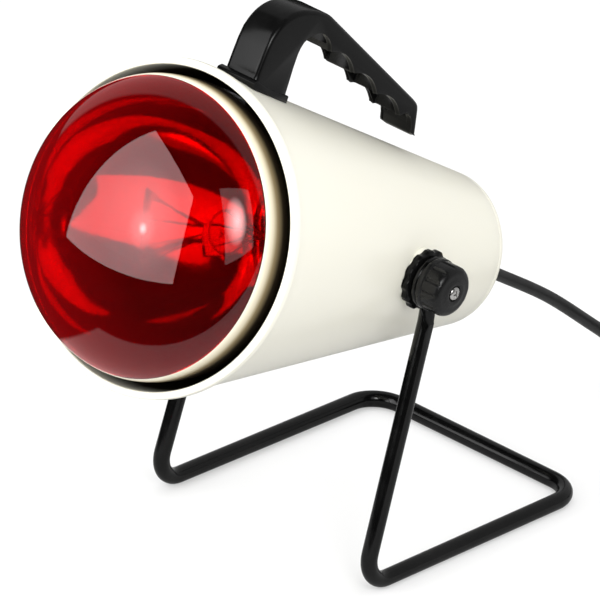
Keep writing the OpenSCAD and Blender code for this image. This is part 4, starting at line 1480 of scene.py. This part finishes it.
def lobed_disc():
    """Friction disc with twelve shallow notches and softened rims."""
    lobes, notch_r, notch = 12, 3.6, 0.8
    rows = [(0.45, 0), (0.12, 0.12), (0, 0.45)]
    rows += [(0, DISC_T - 0.6), (0.15, DISC_T - 0.2), (0.5, DISC_T)]
    count = lobes * 16
    reach = DISC_R + notch_r - notch
    bm = bmesh.new()
    rings = []
    for inset, z in rows:
        ring = []
        for k in range(count):
            off = math.tau / lobes * ((k / 16 + 0.5) % 1 - 0.5)
            side = reach * math.sin(off)
            limit = DISC_R
            if abs(side) < notch_r:
                limit = reach * math.cos(off) - math.sqrt(notch_r**2 - side**2)
            radius = min(notched(DISC_R, limit, 0.5), DISC_R) - inset
            t = math.tau * k / count
            ring.append(bm.verts.new((radius * math.cos(t), radius * math.sin(t), z)))
        rings.append(ring)
    rings += [circle(bm, SHANK_R + 0.3, z, count) for z in (DISC_T, 0)]
    bridge_rings(bm, rings, count, closed=True)
    return as_object("disc", close_up(bm, 1e-4))


def make_pivot():
    """Knob, screw and friction disc on both sides."""
    for side, word in ((1, "right"), (-1, "left")):
        place = pivot_side(side)
        knob = fluted_knob()
        knob.name = "clamp_knob_" + word
        knob.data.transform(Matrix.Translation((0, 0, KNOB_X)))
        settle(knob, place, "knob_" + word, BLACK, ["knob_" + word], 40)
        disc = lobed_disc()
        disc.name = "lobed_disc_" + word
        disc.data.transform(Matrix.Translation((0, 0, BOSS_X)))
        settle(disc, place, "head", GRIP, ["friction_disc_" + word], 40)
        screw = screw_mesh("clamp_screw_" + word, 2.9, 1.8, SHANK_R, 24.9)
        screw.data.transform(Matrix.Rotation(math.radians(20), 4, "Z"))
        screw.data.transform(Matrix.Translation((0, 0, KNOB_X + KNOB_LEN - 1)))
        settle(
            screw, place, "knob_" + word, BRIGHT, ["knob_screw_" + word], 40
        )


# -------------------------------------------------------------------- stand


def bend_points(p, q, s, radius, steps):
    """Arc of a wire bend at q, between the directions to p and to s."""
    a, b = (p - q).normalized(), (s - q).normalized()
    half = a.angle(b) / 2
    cut = radius / math.tan(half)
    centre = q + (a + b).normalized() * (radius / math.sin(half))
    first, last = q + a * cut - centre, q + b * cut - centre
    axis = first.cross(last).normalized()
    sweep_angle = math.pi - 2 * half
    return [
        centre + Matrix.Rotation(sweep_angle * k / steps, 3, axis) @ first
        for k in range(steps + 1)
    ]


def make_stand():
    """One bent wire whose two ends are pressed flat into eyes on the pivot."""
    line = []
    for m in (1, -1):
        top = Vector((m * LEG_X, PIVOT.y, PIVOT.z))
        front = Vector((m * FRONT_X, PIVOT.y - FRONT_Y, WIRE_R))
        rear = Vector((m * REAR_X, PIVOT.y + REAR_Y, WIRE_R))
        middle = Vector((0, PIVOT.y + REAR_Y, WIRE_R))
        run = [top.lerp(front, k / 40) for k in range(2, 34)]
        run += bend_points(top, front, rear, FRONT_BEND, 14)
        first = run[-1]
        arc = bend_points(front, rear, middle, REAR_BEND, 14)
        run += [first.lerp(arc[0], k / 8) for k in range(1, 8)] + arc
        run += [arc[-1].lerp(middle, k / 6) for k in range(1, 6)]
        line = run + [middle] if m > 0 else line + run[::-1]
    wire = sweep("stand_wire", line, WIRE_R, 28, WIRE)
    inner_face, outer_face = EYE_X, EYE_X + EYE_T
    for vertex in wire.data.vertices:
        spot = vertex.co
        side = math.copysign(1, spot.x)
        down = Vector((0, -FRONT_Y, WIRE_R - PIVOT.z)).normalized()
        across = Vector((0, down.z, -down.y))
        off = Vector((0, spot.y - PIVOT.y, spot.z - PIVOT.z))
        if off.length > 26:
            continue
        press = 1 - smooth((off.length - EYE_R - 0.2) / 4.5)
        high = (LEG_X + WIRE_R) * (1 - press) + (outer_face - 0.06) * press
        spot += across * off.dot(across) * 0.25 * press
        spot.x = side * max(inner_face, min(abs(spot.x), high))
    parts = [wire]
    eye = rounded(
        [
            (EYE_BORE, inner_face, 0.3),
            (EYE_R, inner_face, 0.9),
            (EYE_R, outer_face, 0.9),
            (EYE_BORE, outer_face, 0.3),
        ],
        4,
    )
    for side in (1, -1):
        place = WORLD.inverted() @ pivot_side(side)
        parts.append(lathe("eye", eye, 72, place=place, merge=1e-4))
    stand = join("bent_wire_stand", parts)
    settle(stand, WORLD, "stand", WIRE, ["wire_stand"], 40)

# --------------------------------------------------------------------- cord


def cord_route():
    """The whole free cord, from the strain relief to the plug, in mm."""
    behind, up = -(abs(REAR) + 3 + RELIEF_LEN), -AXIS_DROP - EXIT_DROP
    start = head_point(0, up, behind - 0.4)
    onward = (head_point(0, up, behind - 10) - start).normalized()
    route = [
        start + onward * 2 * CORD_R,
        (0, 130, 80.7),
        (0, 164, 59.9),
        (0, 197.5, 35.2),
        (0, 224, 15.5),
        (0, 245, 6.5),
        (0, 266, 3),
        (0, COIL_Y - 2 * CORD_R, CORD_R),
    ]
    line = [start] + spline(route, 8)
    for point in line:
        point.z = max(point.z, CORD_R)
    steps = 48
    for i in range(1, int(COIL_TURNS * steps) + 1):
        t = i / steps
        back = COIL_TURNS - t
        r = COIL_OUT - COIL_STEP * min(t, back) + 3.2 * smooth((0.35 - back) / 0.35)
        a = math.pi - math.tau * t
        z = CORD_R + COIL_STEP * smooth((t - COIL_TURNS / 2 + 0.25) / 0.5)
        z += (PLUG_T / 2 - CORD_R - COIL_STEP) * smooth((0.15 - back) / 0.15)
        line.append(Vector((COIL_OUT + r * math.cos(a), COIL_Y + r * math.sin(a), z)))
    line.append(line[-1] + Vector((0, -2 * CORD_R, 0)))
    return line


def pin_pair(name, section):
    """The same turned shape on both pins of the plug."""
    base = PLUG_RELIEF + PLUG_LEN
    places = [Matrix.Translation((side * PIN_GAP / 2, 0, 0)) for side in (1, -1)]
    return join(name, [lathe("pin", section, 28, base, place) for place in places])


def make_plug(cord_end):
    """Flat two-pin plug with a ribbed relief, a waist and grip dimples."""
    place = axes(Vector((1, 0, 0)), Vector((0, 0, 1)), Vector((0, -1, 0)), cord_end)
    tail = [(0, 0, 0), (CORD_R + 0.75, 0, 0.4), (5.15, PLUG_RELIEF, 0), (0, PLUG_RELIEF, 0)]
    relief = lathe("plug_strain_relief", rounded(tail, 4), 40)
    for side in (1, -1):
        template = slab("nick", plate(3.4, -8, 6.6, 8), -0.75, 0.75)
        template.data.transform(Matrix.Scale(side, 4, (1, 0, 0)))
        nicks = row_of("nicks", template, 4, (0.0, 0.0, 4.2))
        nicks.data.transform(Matrix.Translation((0, 0, 4.75)))
        turned = bmesh.new()
        turned.from_mesh(nicks.data)
        close_up(turned)
        turned.to_mesh(nicks.data)
        turned.free()
        carve(relief, nicks)
    soften(relief, 0.15, 40)
    settle(relief, place, "stand", RUBBER, ["plug_relief"], 40)
    stations = [
        (0.0, 6.6, 5.6), (0.03, 7.2, 6.3), (0.1, 8.4, 6.8), (0.2, 9.05, 6.95), (0.34, 9.2, 6.95),
        (0.48, 9.7, 6.95), (0.6, 10.9, 6.95), (0.7, 12.3, 6.95), (0.78, 12.9, 6.95),
        (0.9, 12.95, 6.95), (0.97, 12.8, 6.8), (1.0, 12.3, 6.3),
    ]
    bm = bmesh.new()
    count, rings = 64, []
    for part, wide, thick in stations:
        z = PLUG_RELIEF + PLUG_LEN * part
        ring = []
        for k in range(count):
            t = math.tau * k / count
            c, s = math.cos(t), math.sin(t)
            x = math.copysign(abs(c) ** 0.62, c) * wide
            y = math.copysign(abs(s) ** 0.8, s) * thick
            ring.append(bm.verts.new((x, y, z)))
        rings.append(ring)
    bm.faces.new(rings[0])
    bm.faces.new(rings[-1])
    bridge_rings(bm, rings, count)
    body = as_object("plug_moulding", close_up(bm))
    for side in (1, -1):
        upright = Matrix.Rotation(math.pi / 2, 4, "X")
        rib = slab("rib", plate(-5.5, -0.5, 5.5, 0.5, 0.49), -0.5, 0.5, upright)
        ribs = row_of("ribs", rib, 5, (0.0, 0.0, 2.4))
        ribs.data.transform(
            Matrix.Translation((0, side * 7.0, PLUG_RELIEF + PLUG_LEN * 0.2))
        )
        carve(body, ribs)
    soften(body, 0.2, 40)
    settle(body, place, "stand", BLACK, ["plug_body"], 45)
    tip = [(0, PIN_LEN), (0.9, PIN_LEN - 0.1)]
    tip += [(PIN_R - 0.35, PIN_LEN - 0.6), (PIN_R - 0.05, PIN_LEN - 1.4)]
    pins = pin_pair("plug_pin_pair", [(0, 0), (PIN_R - 0.05, 0)] + tip[::-1])
    settle(pins, place, "stand", PIN_METAL, ["plug_pins"], 40)
    section = [(PIN_R - 0.3, 0, 0), (PIN_R, 0, 0), (PIN_R, 9.5, 0.12), (PIN_R - 0.3, 9.5, 0)]
    sleeves = pin_pair("plug_pin_sleeves", rounded(section))
    settle(sleeves, place, "stand", BLACK, (), 40)
    return [relief, body, pins, sleeves]


def make_cord():
    """The free cord with its plug."""
    line = cord_route()
    points = [p * MM for p in line]
    sheath = sweep("free_cord", points, CORD_R * MM, 14, SHEATH)
    plug = make_plug(line[-1])
    settle(sheath, None, None, SHEATH, ["cord_stretch", "cord_coil"], 60)
    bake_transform(sheath)


def make_strain_relief():
    """Gland with a flange and a tapered tail, nicked on both sides to bend."""
    relief = lathe(
        "cord_strain_relief",
        rounded(
            [
                (CORD_R + 0.05, REAR + 12, 0),
                (CORD_R + 0.05, REAR - 3 - RELIEF_LEN, 0.2),
                (CORD_R + 0.95, REAR - 3 - RELIEF_LEN, 0.45),
                (RELIEF_R - 0.2, REAR - 3, 0.5),
                (7.2, REAR - 3, 0.7),
                (7.2, REAR - 0.02, 0.1),
                (RELIEF_R, REAR - 0.02, 0),
                (RELIEF_R, REAR + 2.3, 0),
                (7.0, REAR + 2.3, 0.2),
                (7.0, REAR + 5, 0.4),
                (RELIEF_R - 1, REAR + 5, 0),
                (RELIEF_R - 1, REAR + 12, 0),
            ],
            4,
        ),
        48,
    )
    for side in (1, -1):
        template = slab("nick", plate(3.0, -10, 6.2, 10), 0, 1.5)
        if side < 0:
            template.data.transform(Matrix.Rotation(math.pi, 4, "Z"))
        step = (0.0, 0.0, -(RELIEF_LEN - 6) / 5)
        nicks = row_of("nicks", template, 5, step, 0.07)
        nicks.data.transform(Matrix.Translation((0, 0, REAR - 8 + (0 if side > 0 else 2.1))))
        carve(relief, nicks)
    relief.data.transform(Matrix.Translation((0, -EXIT_DROP, 0)))
    soften(relief, 0.15, 40)
    settle(relief, AXIS, "head", RUBBER, ["cord_gland"], 40)


# ---------------------------------------------------- carried-over CAD nodes

CARRIED = {
    "lampholder_bracket": ZINC,
    "bracket_screws": BRIGHT,
    "lampholder_body": CERAMIC,
    "lampholder_sleeve": BRASS,
    "lampholder_contact": BRASS,
    "bulb_cap": CAP_METAL,
    "bulb_cap_insulator": BLACK_GLASS,
    "bulb_cap_contact": BRASS,
    "bulb_stem": CLEAR,
    "filament_leads": TUNGSTEN,
    "handle_plate": ZINC,
    "handle_screws": BRIGHT,
    "pivot_washer_left": ZINC,
    "pivot_washer_right": ZINC,
    "lock_nut_left": ZINC,
    "lock_nut_right": ZINC,
    "cord_clamp": CERAMIC,
    "cord_inner": SHEATH,
    "lead_live": BROWN_LEAD,
    "lead_neutral": BLUE_LEAD,
}


def dress_carried():
    """Finishes for the CAD pieces that are shown as they are."""
    for name, finish in CARRIED.items():
        node = frame["nodes"][name]
        if node.material_slots:
            for held in node.material_slots:
                held.material = finish
        else:
            node.data.materials.append(finish)


# ------------------------------------------------------------ floor, lights

SHEET_TURN, SHEET_LEFT, SHEET_FRONT = math.radians(-12), -0.15, -0.255
SHEET_WHITE, FLOOR_BOUNCE = 0.32, 0.5
FLOOR_GLOW, FLOOR_SHADOW = 0.38, 0.42
ROOM_DARK, ROOM_WHITE = 0.004, 0.42
FILL_LOW, FILL_HIGH = 0.64, 1.74


def make_floor():
    """White sheet that the lamp stands on; past its edges the bulb sees dark."""
    made = bpy.data.materials.new("studio_floor")
    made.use_nodes = True
    tree = made.node_tree
    tree.nodes.clear()
    spot = tree.nodes.new("ShaderNodeNewGeometry").outputs["Position"]
    turned = put(
        tree, "ShaderNodeVectorRotate", p_rotation_type="Z_AXIS", Vector=spot, Angle=SHEET_TURN
    )
    parts = put(tree, "ShaderNodeSeparateXYZ", Vector=turned.outputs[0])
    inside = math_node(
        tree,
        "MULTIPLY",
        remap(tree, parts.outputs["X"], SHEET_LEFT - 0.004, SHEET_LEFT + 0.004),
        remap(tree, parts.outputs["Y"], SHEET_FRONT - 0.004, SHEET_FRONT + 0.004),
    )
    sheet = put(
        tree, "ShaderNodeBsdfDiffuse", Color=mixed(tree, inside, grey(0.008), grey(SHEET_WHITE))
    )
    even = put(tree, "ShaderNodeBsdfDiffuse", Color=grey(FLOOR_BOUNCE))
    rays = tree.nodes.new("ShaderNodeLightPath").outputs
    unseen = put(
        tree,
        "ShaderNodeMixShader",
        i0=rays["Is Diffuse Ray"],
        i1=sheet.outputs[0],
        i2=even.outputs[0],
    )
    shown = put(tree, "ShaderNodeBsdfDiffuse", Color=grey(FLOOR_SHADOW))
    glow = put(tree, "ShaderNodeEmission", Color=grey(1), Strength=FLOOR_GLOW)
    lit = put(tree, "ShaderNodeAddShader", i0=shown.outputs[0], i1=glow.outputs[0])
    blend = put(
        tree,
        "ShaderNodeMixShader",
        i0=rays["Is Camera Ray"],
        i1=unseen.outputs[0],
        i2=lit.outputs[0],
    )
    put(tree, "ShaderNodeOutputMaterial", Surface=blend.outputs[0])
    mesh = bpy.data.meshes.new("floor")
    reach = 40
    mesh.from_pydata(
        [(-reach, -reach, 0), (reach, -reach, 0), (reach, reach, 0), (-reach, reach, 0)],
        [],
        [(0, 1, 2, 3)],
    )
    mesh.materials.append(made)
    floor = bpy.data.objects.new("floor", mesh)
    scene.collection.objects.link(floor)


def spot_gain(tree, spot, reach, gain, x, y):
    """Extra brightness round one place on a light's cloth."""
    away = put(
        tree, "ShaderNodeVectorMath", p_operation="SUBTRACT", i0=spot, i1=(0.5 + x, 0.5 + y, 0)
    )
    far = put(tree, "ShaderNodeVectorMath", p_operation="LENGTH", i0=away.outputs[0])
    near = remap(tree, far.outputs["Value"], reach, 0.0)
    return math_node(tree, "MULTIPLY", near, gain)


def softbox(name, place, facing, size, radiance, roll, *glows):
    """Square light whose lamp glows through its cloth; radiance is at its edge."""
    data = bpy.data.lights.new(name, "AREA")
    data.shape, data.size, data.size_y = "RECTANGLE", size[0], size[1]
    data.energy = radiance * math.pi * size[0] * size[1]
    data.use_nodes = True
    tree = data.node_tree
    spot = tree.nodes.new("ShaderNodeNewGeometry").outputs["Parametric"]
    total = 1.0
    for glow in glows:
        total = math_node(tree, "ADD", spot_gain(tree, spot, *glow), total)
    tree.links.new(total, tree.nodes["Emission"].inputs["Strength"])
    lamp = bpy.data.objects.new(name, data)
    lamp.matrix_world = (
        Matrix.Translation(place)
        @ Vector(facing).to_track_quat("-Z", "Y").to_matrix().to_4x4()
        @ Matrix.Rotation(math.radians(roll), 4, "Z")
    )
    lamp.visible_camera = False
    scene.collection.objects.link(lamp)


def set_world():
    """White behind the lamp, dim before it, and an even fill on matt surfaces."""
    world = bpy.data.worlds.new("studio")
    scene.world = world
    world.use_nodes = True
    tree = world.node_tree
    path = tree.nodes.new("ShaderNodeLightPath").outputs
    aim = tree.nodes.new("ShaderNodeTexCoord").outputs["Generated"]
    parts = put(tree, "ShaderNodeSeparateXYZ", Vector=aim).outputs
    lean = math_node(tree, "MULTIPLY", parts["X"], -0.12)
    behind = math_node(tree, "ADD", parts["Y"], lean)
    room = remap(tree, behind, 0.2, 0.27, ROOM_DARK, ROOM_WHITE)
    sky = remap(tree, parts["Z"], -0.2, 1.0, FILL_LOW, FILL_HIGH)
    fill = put(tree, "ShaderNodeMix", i0=path["Is Diffuse Ray"], i2=room, i3=sky)
    level = put(tree, "ShaderNodeMix", i0=path["Is Camera Ray"], i2=fill.outputs[0], i3=1.0)
    tree.nodes["Background"].inputs[0].default_value = grey(1)
    tree.links.new(level.outputs[0], tree.nodes["Background"].inputs["Strength"])


def set_studio():
    """World, an upright key at the front left and a side light on the right."""
    set_world()
    softbox(
        "key",
        (-0.168, -0.895, 0.611),
        (0.613, 0.79, 0.017),
        (1.03, 1.06),
        3.2,
        0,
        (0.42, 0.7, 0.0, -0.1),
        (0.13, 1.2, -0.01, -0.21),
        (0.04, 4.0, -0.01, -0.21),
    )
    softbox(
        "side",
        (0.661, -0.316, 0.591),
        (-0.644, 0.625, -0.441),
        (0.576, 0.623),
        1.15,
        11,
        (0.34, 15.0, -0.15, 0.03),
    )
    scene.view_settings.view_transform = "Standard"


make_housing()
make_rear_cover()
make_bulb()
make_filament()
make_handle()
make_pivot()
make_stand()
make_strain_relief()
make_cord()
dress_carried()
make_floor()
set_studio()
